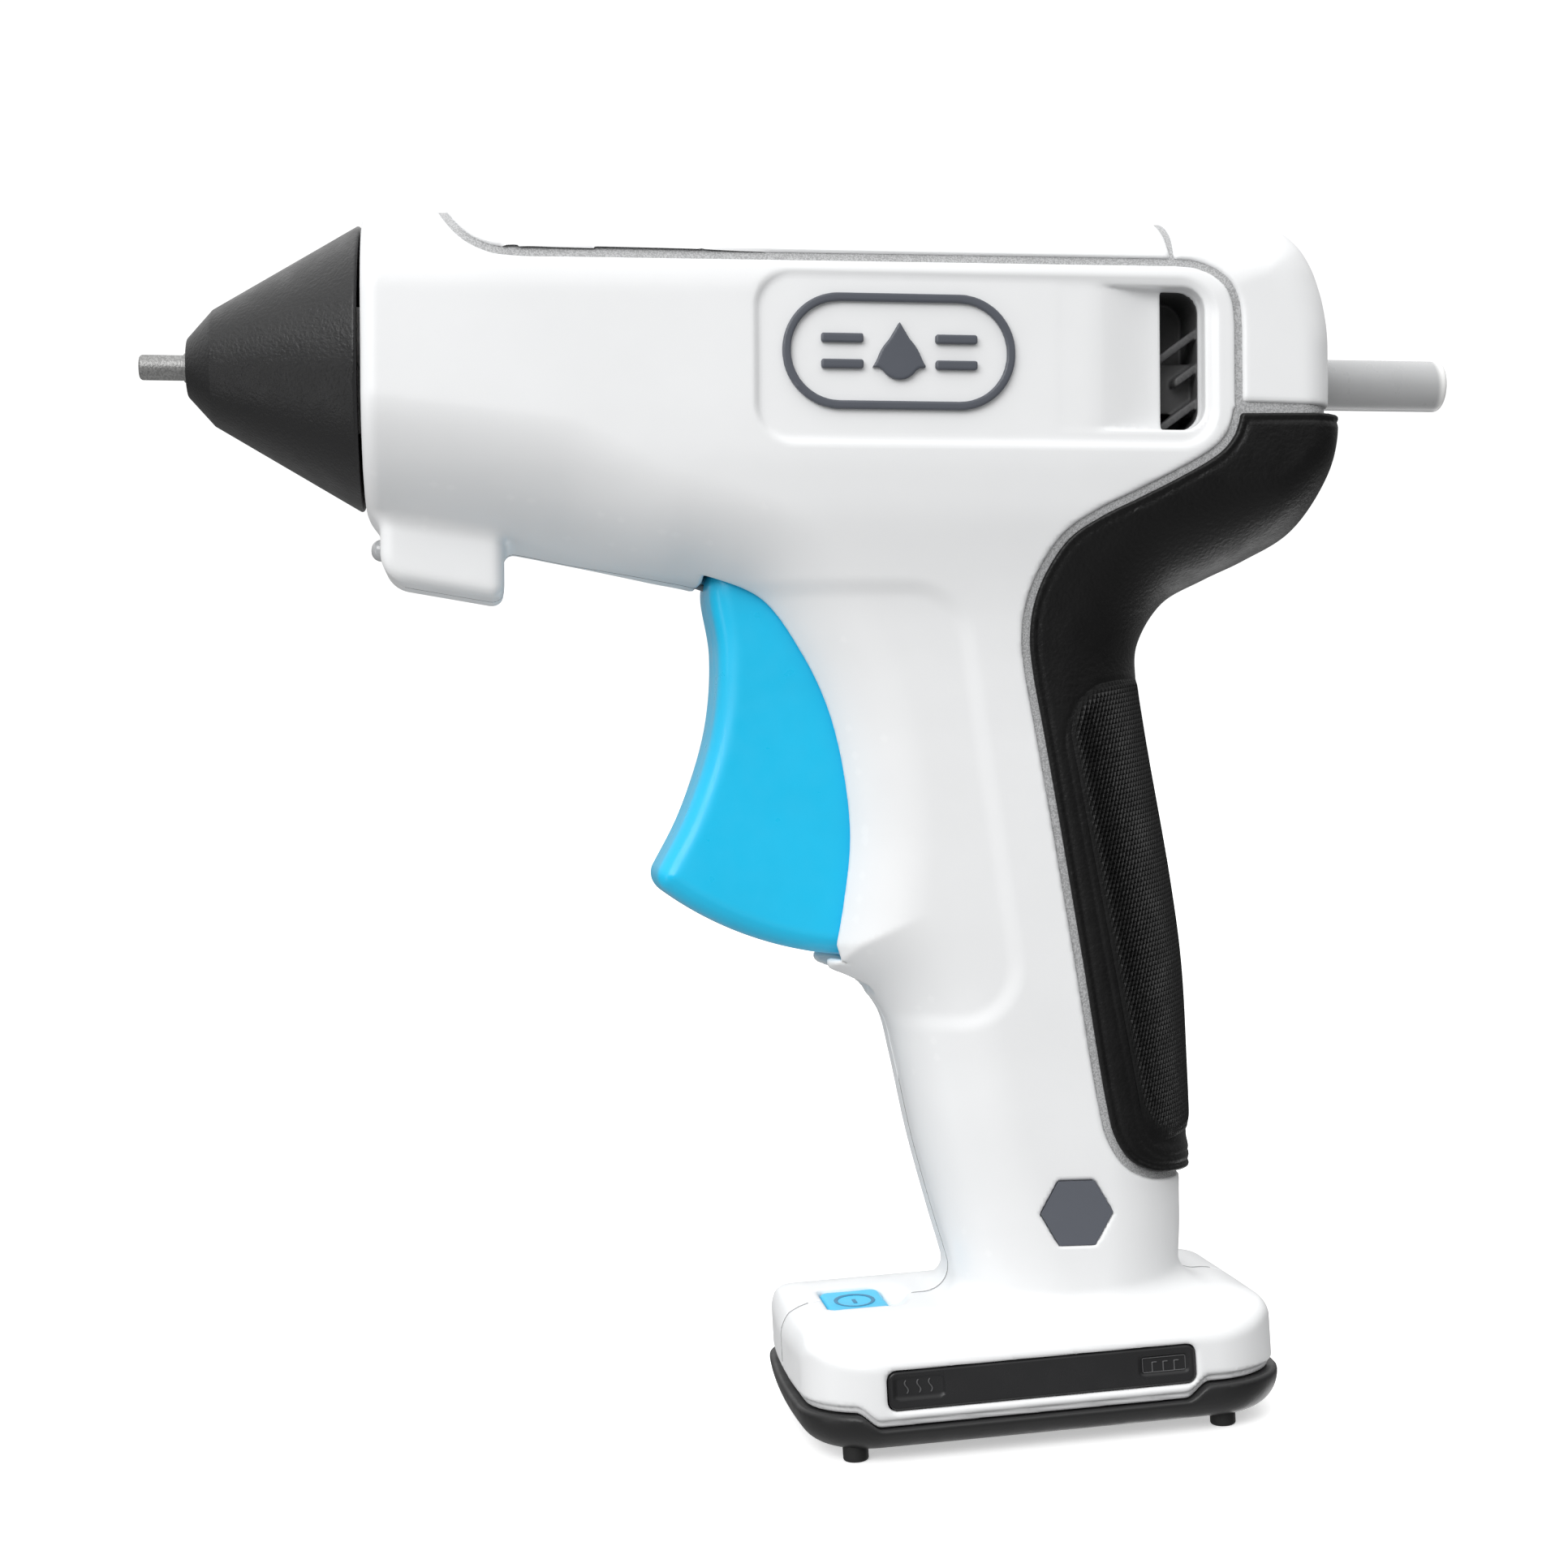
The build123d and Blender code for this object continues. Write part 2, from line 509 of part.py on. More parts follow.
def make_trim():
    for side, name in ((-1, "left"), (1, "right")):
        face = side * (BARREL_WIDTH / 2 - PANEL_DEPTH + 0.02)
        keep(name + "_badge", stand(across(badge_face(), *sorted((face, face + side * 0.7)))))
        y0, y1 = sorted((side * (INLAY_FACE - 0.75), side * INLAY_FACE))
        keep(name + "_inlay", stand(across(offset(inlay_face(), -RUNNING), y0, y1)))
        ribs = block(44.2, 49.0, *sorted((side * 17.9, side * 18.5)), -9.2, 8.4)
        for z in (-6.4, -0.4, 5.6):
            rib = Pos(46.6, side * 17.6, z) * Rot(0, 40, 0) * Box(6.0, 1.2, 1.2)
            ribs = ribs + (rib & block(44.2, 49.0, -30, 30, -9.2, 8.4))
        keep(name + "_vent_grille", stand(ribs))


os.makedirs("parts", exist_ok=True)
make_shells()
make_hot_end()
make_feed()
make_trigger()
make_light()
make_power()
make_base()
make_trim()
for name, shape in parts.items():
    export_step(shape, "parts/" + name + ".step")
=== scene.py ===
import json
import math

import bmesh
import bpy
import numpy as np
from mathutils import Matrix, Vector


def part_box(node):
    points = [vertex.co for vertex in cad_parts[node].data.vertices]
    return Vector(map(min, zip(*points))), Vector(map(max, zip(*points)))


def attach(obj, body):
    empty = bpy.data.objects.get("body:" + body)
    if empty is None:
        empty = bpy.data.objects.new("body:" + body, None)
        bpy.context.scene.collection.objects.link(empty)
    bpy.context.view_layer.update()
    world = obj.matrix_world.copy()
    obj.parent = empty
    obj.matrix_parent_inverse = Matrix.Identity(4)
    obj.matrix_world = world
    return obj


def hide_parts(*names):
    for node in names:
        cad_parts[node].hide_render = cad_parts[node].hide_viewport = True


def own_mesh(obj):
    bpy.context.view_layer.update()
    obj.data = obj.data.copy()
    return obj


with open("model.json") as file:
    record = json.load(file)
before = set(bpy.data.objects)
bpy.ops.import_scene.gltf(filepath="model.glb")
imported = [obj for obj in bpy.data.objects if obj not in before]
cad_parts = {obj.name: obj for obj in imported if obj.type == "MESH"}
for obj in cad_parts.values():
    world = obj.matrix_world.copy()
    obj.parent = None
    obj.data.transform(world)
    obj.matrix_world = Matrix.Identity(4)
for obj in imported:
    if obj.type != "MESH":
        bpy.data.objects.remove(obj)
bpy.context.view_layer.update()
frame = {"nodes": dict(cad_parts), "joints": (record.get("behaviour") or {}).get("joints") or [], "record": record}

MM = 0.001

# ---------------------------------------------------------------- frames of reference
# Gun frame, in millimetres: x along the barrel axis towards the rear, z square to it.
# Standing frame, in millimetres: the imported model's own axes.
STICK_MIDDLE_X = 41.0
slide_axis = [j for j in frame["joints"] if j["name"] == "carriage_slide"][0]["axis"]
LEAN_COS, LEAN_SIN = -slide_axis[0], slide_axis[2]
stick_low, stick_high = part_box("rear_stick")
AXIS_X = (stick_low.x + stick_high.x) / 2 / MM - STICK_MIDDLE_X * LEAN_COS
AXIS_Z = (stick_low.z + stick_high.z) / 2 / MM + STICK_MIDDLE_X * LEAN_SIN


def to_standing(x, z):
    return AXIS_X + x * LEAN_COS + z * LEAN_SIN, AXIS_Z - x * LEAN_SIN + z * LEAN_COS


def gun_points(points):
    """Gun-frame millimetres to model metres."""
    points = np.asarray(points, float)
    xs, zs = to_standing(points[:, 0], points[:, 2])
    return np.stack([xs, points[:, 1], zs], axis=1) * MM


def standing_points(points):
    return np.asarray(points, float) * MM


# ---------------------------------------------------------------- dimensions, in millimetres
# Boxes are (middle, middle, half length, half height, corner radius).
WALL = 2.0
REVEAL = 1.1  # width of the grey band that shows between two shells
HALF = 21.0
FRONT = -61.7
PANEL_FACE = 20.3
PANEL = (20.15, -0.75, 30.95, 11.25, 5.0)
SCREWS = [(-44.0, -15.8), (24.0, -17.0), (14.5, -91.0), (22.0, -120.5), (-54.6, 14.8)]
TRAY_SCREWS = [(-6.3, 13.0), (-6.3, -13.0), (43.7, 13.0), (43.7, -13.0)]
FEET = [(-6.3, -19.0), (-6.3, 19.0), (43.7, -19.0), (43.7, 19.0)]
SCREW_BOSS, SCREW_HEAD, SCREW_SHANK = 3.0, 2.3, 1.25
PIVOT = (5.6, -33.9)
BASE_MIDDLE, BASE_HALF_LENGTH, BASE_HALF, BASE_BOW = 19.75, 31.5, 23.6, 1.4
BUTTON_X = -2.5
BUTTON_TOP = 16.7
WINDOW = (18.5, 9.6, 20.8, 2.7, 1.3)
WINDOW_FACE = 23.0
TRIGGER_HALF = 9.0
TRIGGER_SWEEP = 46.5  # from the pivot to the trigger's lower edge
LIGHT_Z = -24.5
SOCKET_HEIGHT = 11.95
STICK_CLEARANCE = 4.3
BOTTOM, TOP = -144, 25
FAR = 100.0  # added to a distance to switch a condition off

CELL = 0.45
FINE = 0.35
TABLE = 0.25


# ---------------------------------------------------------------- distance fields
def ease(low, high, v):
    t = np.clip((v - low) / (high - low), 0.0, 1.0)
    return t * t * (3.0 - 2.0 * t)


def meet(a, b, radius):
    """Common part of two solids, its edge rounded."""
    corner = np.hypot(np.maximum(a + radius, 0), np.maximum(b + radius, 0))
    return np.minimum(np.maximum(a, b), -radius) + corner


def join(a, b, radius):
    """Both solids, with a fillet between them."""
    return -meet(-a, -b, radius)


def cut(a, b, radius):
    return meet(a, -b, radius)


def rounded_box(u, v, half_u, half_v, radius):
    du = np.abs(u) - half_u + radius
    dv = np.abs(v) - half_v + radius
    return np.minimum(np.maximum(du, dv), 0) + np.hypot(np.maximum(du, 0), np.maximum(dv, 0)) - radius


def rounded(corners, arc_step=6.0):
    """Outline from (x, z, corner radius) points."""
    points = []
    for i, (x, z, radius) in enumerate(corners):
        b = np.array([x, z], float)
        if radius == 0:
            points.append(b)
            continue
        u = np.array(corners[i - 1][:2], float) - b
        v = np.array(corners[(i + 1) % len(corners)][:2], float) - b
        u, v = u / np.hypot(*u), v / np.hypot(*v)
        half = math.acos(np.clip(u @ v, -1, 1)) / 2
        middle = b + (u + v) / np.hypot(*(u + v)) * radius / math.sin(half)
        start, end = b + u * radius / math.tan(half) - middle, b + v * radius / math.tan(half) - middle
        turn = math.pi - 2 * half
        count = max(2, int(math.degrees(turn) / arc_step))
        for k in range(count + 1):
            t = k / count
            w0, w1 = math.sin((1 - t) * turn), math.sin(t * turn)
            points.append(middle + (start * w0 + end * w1) / math.sin(turn))
    return points


def curve(points, per_span=8):
    """Smooth line through the points (centripetal Catmull-Rom)."""
    p = np.array(points, float)
    p = np.vstack([2 * p[0] - p[1], p, 2 * p[-1] - p[-2]])
    out = []
    for a, b, c, d in zip(p, p[1:], p[2:], p[3:]):
        t0, t1 = 0.0, math.sqrt(np.hypot(*(b - a)))
        t2 = t1 + math.sqrt(np.hypot(*(c - b)))
        t3 = t2 + math.sqrt(np.hypot(*(d - c)))
        for k in range(per_span):
            t = t1 + (t2 - t1) * k / per_span
            a1 = (t1 - t) / (t1 - t0) * a + (t - t0) / (t1 - t0) * b
            a2 = (t2 - t) / (t2 - t1) * b + (t - t1) / (t2 - t1) * c
            a3 = (t3 - t) / (t3 - t2) * c + (t - t2) / (t3 - t2) * d
            b1 = (t2 - t) / (t2 - t0) * a1 + (t - t0) / (t2 - t0) * a2
            b2 = (t3 - t) / (t3 - t1) * a2 + (t - t1) / (t3 - t1) * a3
            out.append((t2 - t) / (t2 - t1) * b1 + (t - t1) / (t2 - t1) * b2)
    out.append(p[-2])
    return out


def outline(points, margin=8.0):
    """Signed distance to a closed side-view outline, read from a fine table."""
    p = np.array([tuple(q)[:2] for q in points], float)
    low, high = p.min(0) - margin, p.max(0) + margin
    xs = np.arange(low[0], high[0] + TABLE, TABLE)
    zs = np.arange(low[1], high[1] + TABLE, TABLE)
    gx, gz = np.meshgrid(xs, zs, indexing="ij")
    best = np.full(gx.shape, 1e9)
    inside = np.zeros(gx.shape, bool)
    for (ax, az), (bx, bz) in zip(p, np.roll(p, -1, axis=0)):
        ex, ez = bx - ax, bz - az
        length = ex * ex + ez * ez
        if length < 1e-12:
            continue
        t = np.clip(((gx - ax) * ex + (gz - az) * ez) / length, 0, 1)
        best = np.minimum(best, (gx - ax - t * ex) ** 2 + (gz - az - t * ez) ** 2)
        if az != bz:
            inside ^= ((az > gz) != (bz > gz)) & (gx < ex * (gz - az) / ez + ax)
    table = np.where(inside, -1.0, 1.0) * np.sqrt(best)
    table = table.astype(np.float32)

    def read(x, z):
        u = np.clip((x - low[0]) / TABLE, 0, len(xs) - 1.001)
        v = np.clip((z - low[1]) / TABLE, 0, len(zs) - 1.001)
        i, j = u.astype(np.int32), v.astype(np.int32)
        fu, fv = u - i, v - j
        return ((table[i, j] * (1 - fu) + table[i + 1, j] * fu) * (1 - fv)
                + (table[i, j + 1] * (1 - fu) + table[i + 1, j + 1] * fu) * fv)

    return read


# ---------------------------------------------------------------- meshing
def skin(field, low, high, cell):
    """Quads over the surface where the field is zero."""
    axes = [np.arange(a, b + cell, cell, dtype=np.float32) for a, b in zip(low, high)]
    gx, gy, gz = np.ix_(*axes)
    shape = tuple(len(a) for a in axes)
    v = np.broadcast_to(field(gx, gy, gz), shape).astype(np.float32)
    v = np.where(v == 0, np.float32(1e-6), v)
    inside = v < 0
    count = np.zeros(tuple(n - 1 for n in shape), np.int8)
    corners = [(a, b, c) for a in (0, 1) for b in (0, 1) for c in (0, 1)]

    def corner_view(array, corner):
        return array[tuple(slice(o, n - 1 + o) for o, n in zip(corner, shape))]

    for corner in corners:
        count += corner_view(inside, corner)
    active = (count > 0) & (count < 8)
    index = np.nonzero(active)
    ids = np.full(active.shape, -1, np.int32)
    ids[index] = np.arange(len(index[0]))
    values = {c: v[index[0] + c[0], index[1] + c[1], index[2] + c[2]] for c in corners}
    total = np.zeros((len(index[0]), 3))
    hits = np.zeros(len(index[0]))
    for axis in range(3):
        for first in corners:
            if first[axis]:
                continue
            second = tuple(1 if k == axis else o for k, o in enumerate(first))
            a, b = values[first], values[second]
            crossing = (a < 0) != (b < 0)
            t = a[crossing] / (a[crossing] - b[crossing])
            for k in range(3):
                total[crossing, k] += first[k] + (t if k == axis else 0)
            hits[crossing] += 1
    points = (np.stack(index, axis=1) + total / hits[:, None]) * cell
    points += np.array([a[0] for a in axes])

    quads = []
    for axis in range(3):
        u, w = (axis + 1) % 3, (axis + 2) % 3
        lower = tuple(slice(0, n - 1) if k == axis else slice(1, n - 1) for k, n in enumerate(shape))
        upper = tuple(slice(1, n) if k == axis else slice(1, n - 1) for k, n in enumerate(shape))
        a, b = inside[lower], inside[upper]
        where = list(np.nonzero(a != b))
        outward = a[tuple(where)]
        for k in range(3):
            if k != axis:
                where[k] = where[k] + 1
        ring = []
        for du, dw in ((1, 1), (0, 1), (0, 0), (1, 0)):
            place = list(where)
            place[u] = place[u] - du
            place[w] = place[w] - dw
            ring.append(ids[tuple(place)])
        ring = np.stack(ring, axis=1)
        ring[~outward] = ring[~outward][:, ::-1]
        quads.append(ring)
    quads = np.vstack(quads)

    reach = cell * 0.3
    for _ in range(3):
        x, y, z = points.T
        here = field(x, y, z)
        slope = np.stack([
            field(x + reach, y, z) - field(x - reach, y, z),
            field(x, y + reach, z) - field(x, y - reach, z),
            field(x, y, z + reach) - field(x, y, z - reach),
        ], axis=1) / (2 * reach)
        strength = np.maximum((slope ** 2).sum(1), 0.05)
        move = np.clip(here / strength, -0.4 * cell, 0.4 * cell)
        points = points - slope * move[:, None]
    return points, quads


def new_object(name, points, faces):
    mesh = bpy.data.meshes.new(name)
    mesh.from_pydata(np.asarray(points).tolist(), [], np.asarray(faces).tolist())
    mesh.validate()
    mesh.update()
    mesh.polygons.foreach_set("use_smooth", [True] * len(mesh.polygons))
    thing = bpy.data.objects.new(name, mesh)
    bpy.context.scene.collection.objects.link(thing)
    return thing


def shape(name, field, low, high, cell, place=gun_points):
    points, quads = skin(field, low, high, cell)
    return new_object(name, place(points), quads)


# ---------------------------------------------------------------- the gun's outer form
underside = curve([(-80, -18.6), (-62, -21.6), (-52, -23.3), (-41.3, -25.1), (-34.6, -26.4), (-23.4, -28.3),
                   (-16, -29.9), (-10.4, -32.6), (-5.7, -39.5), (-1.9, -48.3), (0.5, -62.7), (-0.4, -72.6),
                   (-1.5, -78.6)])
handle_front = curve([(-0.9, -80.6), (-0.2, -82.3), (2.6, -83.6), (6.4, -85.7), (8.8, -89.0), (10.3, -94.7),
                      (12.8, -106.2), (16.0, -117.7), (17.4, -122.3), (19.3, -129.5), (21.2, -140.0)])
body_rear = curve([(48.6, -140), (48.9, -129.5), (49.7, -118.8), (49.8, -113), (50.1, -95.7), (49.4, -81.8),
                   (47.9, -70.2), (44.2, -49.4), (43.0, -42.5), (43.0, -37.9), (46.5, -31.2), (52.8, -27.2),
                   (58.3, -24.4), (64.0, -20.8), (67.3, -14.4), (68.0, -5.2), (68.0, 1.0)])
grip_rear = curve([(50.8, -140), (51.0, -129.5), (51.1, -118.8), (51.2, -110), (50.9, -95.7), (50.2, -81.8),
                   (48.7, -70.2), (45.1, -49.4), (44.1, -42.5), (44.2, -37.9), (47.7, -32.0), (53.7, -28.6),
                   (59.4, -25.9), (65.2, -22.2), (68.6, -15.2), (69.4, -5.2), (69.2, 1.0)])
crown = [(-80.0, 19.8)]
cap_corner = curve([(68.0, 5.5), (67.9, 9.8), (67.3, 13.9), (65.7, 17.3), (62.6, 19.8), (58.0, 20.7),
                    (52.0, 20.65)])
BODY_SIDE = outline(underside + handle_front + body_rear + cap_corner + crown)
GRIP_SIDE = outline(underside + handle_front + grip_rear + [(69.2, 20.6)] + crown)
LIGHT_BOX = outline(rounded([(-59.8, -10, 0), (-59.8, -29.0, 4.0), (-43.4, -31.8, 1.6), (-43.4, -10, 0)]))
FINGER_DISH = outline(rounded([(-30, -29.3, 0), (18.2, -29.2, 9.5), (27.2, -90, 9), (-30, -92, 0)]))

COVER = outline(curve([(-51.8, 24.0), (-51.2, 20.5), (-49.8, 17.2), (-47.8, 14.8), (-45.0, 13.3),
                       (-41.5, 12.85), (-36.0, 12.85)])
                + [(45.3, 13.3), (45.1, 17.0), (44.4, 21.0), (43.4, 28.0), (-51.8, 28.0)])
CAP = outline([(45.0, 28.0), (45.9, 21.0), (46.1, 17.0)]
              + curve([(45.8, 13.3), (48.9, 13.0), (51.6, 11.8), (53.5, 9.9), (54.5, 7.4), (54.8, 4.2)])
              + [(54.8, -5.9), (84, -6.6), (84, 32)])
GRIP = outline([(54.5, -7.5)]
               + curve([(54.3, -8.6), (53.7, -10.3), (52.4, -12.1), (50.2, -13.8), (45.5, -16.4),
                        (40.5, -18.9), (35.6, -21.3), (31.6, -24.0), (28.9, -27.8), (27.1, -32.3),
                        (26.5, -37.0), (26.9, -41.5), (28.4, -49.7), (30.3, -60.6), (32.1, -71.5),
                        (33.9, -82.5), (35.6, -93.5), (36.7, -100.1), (37.7, -104.4), (39.9, -107.8),
                        (43.2, -109.5), (48.0, -110.0)])
               + [(64.0, -110.6), (88.0, -40.0), (88.0, -6.9)])
KNURL = outline(rounded([(29.7, -43.0, 8.0), (41.6, -107.8, 6.0), (70.0, -107.8, 0), (70.0, -43.0, 0)]))

width_z = np.arange(-145.0, 32.0, 0.25)
width_half = np.interp(width_z, [-140, -129.5, -112, -95, -50, -40, -34, -29.7, -25.5, -21, -14, -8],
                       [17.9, 17.5, 16.55, 16, 16, 16.3, 16.8, 17.6, 18.6, 19.8, 20.8, 21.0])
kernel = np.exp(-np.linspace(-2.5, 2.5, 41) ** 2)
width_half = np.convolve(np.pad(width_half, 20, mode="edge"), kernel / kernel.sum(), mode="valid")


def half_width(x, z):
    dish = 0.45 * ease(0.0, 2.8, -FINGER_DISH(x, z))
    return np.interp(z, width_z, width_half) - dish


def gun_form(x, y, z, side, proud):
    """Barrel and handle from a side outline, with a long edge radius that tightens at the rear of the
    barrel and widens under its front."""
    corner = 13.0 - 8.0 * ease(-26, -9, z) * (1 - ease(2, 20, z)) * ease(50, 62, x)
    corner = corner + 5.0 * (1 - ease(-14, 4, z)) * (1 - ease(-36, -21, x))
    form = meet(side(x, z), np.abs(y) - half_width(x, z) - proud, corner)
    return meet(form, FRONT - x, 2.2)


def plan(x, y):
    """The base seen from above, standing frame."""
    bow = BASE_HALF_LENGTH + BASE_BOW * (1 - (y / BASE_HALF) ** 2)
    return rounded_box(x - BASE_MIDDLE, y, bow, BASE_HALF, 9.0)


def base_form(x, y, z):
    """The base above its joint: a flat top with a chamfer along the sides and a steeper one at the ends."""
    form = meet(plan(x, y), z - 17.0, 1.2)
    form = meet(form, (np.abs(y) - BASE_HALF) * 0.335 + (z - 13.9) * 0.942, 1.6)
    past_end = np.abs(x - BASE_MIDDLE) - BASE_HALF_LENGTH - BASE_BOW
    return meet(form, past_end * 0.62 + (z - 14.7) * 0.785, 1.6)


def body_form(x, y, z):
    """The whole outside: barrel and handle, work-light box and base."""
    form = gun_form(x, y, z, BODY_SIDE, 0.0)
    form = join(form, meet(LIGHT_BOX(x, z), np.abs(y) - TRIGGER_HALF, 1.8), 1.6)
    xs, zs = to_standing(x, z)
    return join(form, base_form(xs, y, zs), 4.5)


def grip_form(x, y, z):
    return gun_form(x, y, z, GRIP_SIDE, 0.3)


def cover_lines(x, z):
    return np.minimum(np.minimum(COVER(x, z), CAP(x, z)), GRIP(x, z))


def lip(x, y):
    """Height of the joint between housing and tray, dipped under the window on the left side."""
    dip = ease(-6.4, -3.2, x) * (1 - ease(37.6, 41.0, x)) * ease(14.0, 18.0, -y)
    return 6.9 - 2.0 * dip


# ---------------------------------------------------------------- housings
VENT = outline(rounded([(44.3, -9.5, 0.4), (49.6, -9.5, 2.9), (49.6, 9.2, 2.9), (44.3, 9.2, 0.4)]))
SCOOP = outline(rounded([(30.0, -9.7, 0), (49.8, -9.7, 3.1), (49.8, 9.4, 3.1), (30.0, 9.4, 0)]))
INLAY = outline([(32.3 + 5.05 * math.cos(math.radians(a)), -114.6 + 5.05 * math.sin(math.radians(a)))
                 for a in range(0, 360, 60)])


def housing(side):
    """One half of the body, left for side -1 and right for side 1."""
    def field(x, y, z):
        ay = np.abs(y)
        xs, zs = to_standing(x, z)
        form = body_form(x, y, z)
        shell = np.maximum(form, -(form + WALL))
        behind_vent = np.maximum(np.abs(x - 43.6) - 8.4, np.abs(z + 0.4) - 11.4)
        backing = np.maximum(np.maximum(form + 0.3, 16.9 - ay), behind_vent)
        shell = np.minimum(shell, backing)
        for sx, sz in SCREWS:
            shell = np.minimum(shell, np.maximum(np.hypot(x - sx, z - sz) - SCREW_BOSS, form + 1.0))
        shell = meet(shell, REVEAL - cover_lines(x, z), 0.45)
        # recessed side panel, with the scoop that runs down to the vent
        panel = rounded_box(x - PANEL[0], z - PANEL[1], PANEL[2], PANEL[3], PANEL[4])
        shell = cut(shell, meet(panel + (HALF - ay) * 0.5, PANEL_FACE - ay, 0.45), 0.5)
        ramp = PANEL_FACE + 0.1 - 2.4 * ease(33.0, 44.6, x)
        shell = cut(shell, np.maximum(SCOOP(x, z), ramp - ay), 0.3)
        shell = cut(shell, np.maximum(VENT(x, z), 14.0 - ay), 0.25)
        shell = cut(shell, np.maximum(INLAY(x, z), 15.9 - ay), 0.2)
        # trigger slot, nozzle opening and work light
        sweep = np.hypot(x - PIVOT[0], z - PIVOT[1]) - 46.9
        slot = np.maximum(sweep, np.abs(x + 4.5) - 12.2)
        slot = np.maximum(slot, np.maximum(np.abs(z + 52.5) - 28.3, ay - TRIGGER_HALF - 0.5))
        shell = cut(shell, slot, 0.7)
        shell = cut(shell, np.maximum(np.hypot(y, z) - 17.4, x + 59.0), 0.5)
        shell = cut(shell, np.maximum(np.hypot(y, z - LIGHT_Z) - 1.75, x + 50.0), 0.3)
        # power button with its finger scoop, window, socket and lower lip
        hole = rounded_box(xs - BUTTON_X, y, 4.55, 6.45, 1.6)
        shell = cut(shell, np.maximum(hole, 9.5 - zs), 0.3)
        scoop = (np.sqrt(((xs - 2.2) / 2.6) ** 2 + (y / 6.2) ** 2 + ((zs - 17.2) / 1.7) ** 2) - 1) * 1.7
        shell = cut(shell, scoop, 0.5)
        if side < 0:
            frame_hole = rounded_box(xs - WINDOW[0], zs - WINDOW[1], WINDOW[2], WINDOW[3], WINDOW[4])
            shell = cut(shell, np.maximum(frame_hole, y + 19.0), 0.35)
        else:
            for sx, sz in SCREWS:
                shell = cut(shell, np.maximum(np.hypot(x - sx, z - sz) - SCREW_HEAD, 5.0 - y), 0.25)
        socket = np.maximum(rounded_box(y, zs - SOCKET_HEIGHT, 4.8, 1.85, 1.7), 44.0 - xs)
        shell = cut(shell, socket, 0.3)
        edge = lip(xs, y)
        shell = cut(shell, np.maximum(-(form + 0.55), zs - edge - 1.0), 0.3)
        shell = meet(shell, edge - zs, 0.5)
        return meet(shell, -side * y + 0.09, 0.3)

    return field


pieces = {}
for side, name in ((-1, "left_housing"), (1, "right_housing")):
    low_y, high_y = (-25.0, 1.0) if side < 0 else (-1.0, 25.0)
    pieces[name] = shape(name + "_shell", housing(side), (-64, low_y, BOTTOM), (76, high_y, TOP), CELL)


# ---------------------------------------------------------------- cover, cap, reveal band, grip
def cover_field(x, y, z):
    form = body_form(x, y, z)
    return meet(np.maximum(form, -(form + WALL)), COVER(x, z), 0.5)


def cap_field(x, y, z):
    form = body_form(x, y, z)
    cap = meet(np.maximum(form, -(form + WALL)), CAP(x, z), 0.5)
    return cut(cap, np.maximum(np.hypot(y, z) - STICK_CLEARANCE, 60.0 - x), 0.4)


def band_field(x, y, z):
    """Grained strip sunk between the shells, on a flange that runs under them."""
    form = body_form(x, y, z)
    line = cover_lines(x, z)
    strip = np.maximum(form + 0.5, np.maximum(-0.7 - line, line - REVEAL - 0.7))
    flange = np.maximum(form + WALL + 0.1, line - 3.0)
    band = np.maximum(np.minimum(strip, flange), -(form + 3.4))
    return cut(band, np.maximum(np.hypot(y, z) - STICK_CLEARANCE, 60.0 - x), 0.1)


def grip_field(x, y, z):
    """Rubber skin with a raised line along its edge and a shallow bed for the knurled panel."""
    form = grip_form(x, y, z)
    line = GRIP(x, z)
    rim = 0.2 * np.exp(-((line + 0.95) / 0.3) ** 2)
    patch = 0.14 * np.exp(-(KNURL(x, z) / 0.28) ** 2) + 0.3 * ease(0.0, 2.2, -KNURL(x, z))
    form = form + rim + patch
    return meet(np.maximum(form, -(form + 2.6)), line, 0.4)


pieces["top_cover"] = shape("top_cover_strip", cover_field, (-53, -23, 13), (51, 23, TOP), CELL)
pieces["rear_cap"] = shape("rear_cap_shell", cap_field, (43, -23, -9), (76, 23, TOP), CELL)
pieces["spine_frame"] = shape("reveal_band", band_field, (-56, -23, -117), (76, 23, TOP), CELL)
pieces["grip_overmould"] = shape("rubber_grip", grip_field, (18, -22.5, -114), (78, 22.5, -5), FINE)


# ---------------------------------------------------------------- moulded parts made as distance fields
TRIGGER_EDGE = outline(curve([(-12.9, -23.2), (-15.2, -26.7), (-16.0, -30.0), (-14.8, -38.5),
                              (-15.6, -49.0), (-19.2, -60.4), (-23.4, -68.6)])
                       + [(-24.6, -71.0), (-24.6, -84.0), (8.5, -84.0), (9.0, -60.0), (8.0, -44.0),
                          (9.5, -38.0), (9.5, -28.0)])


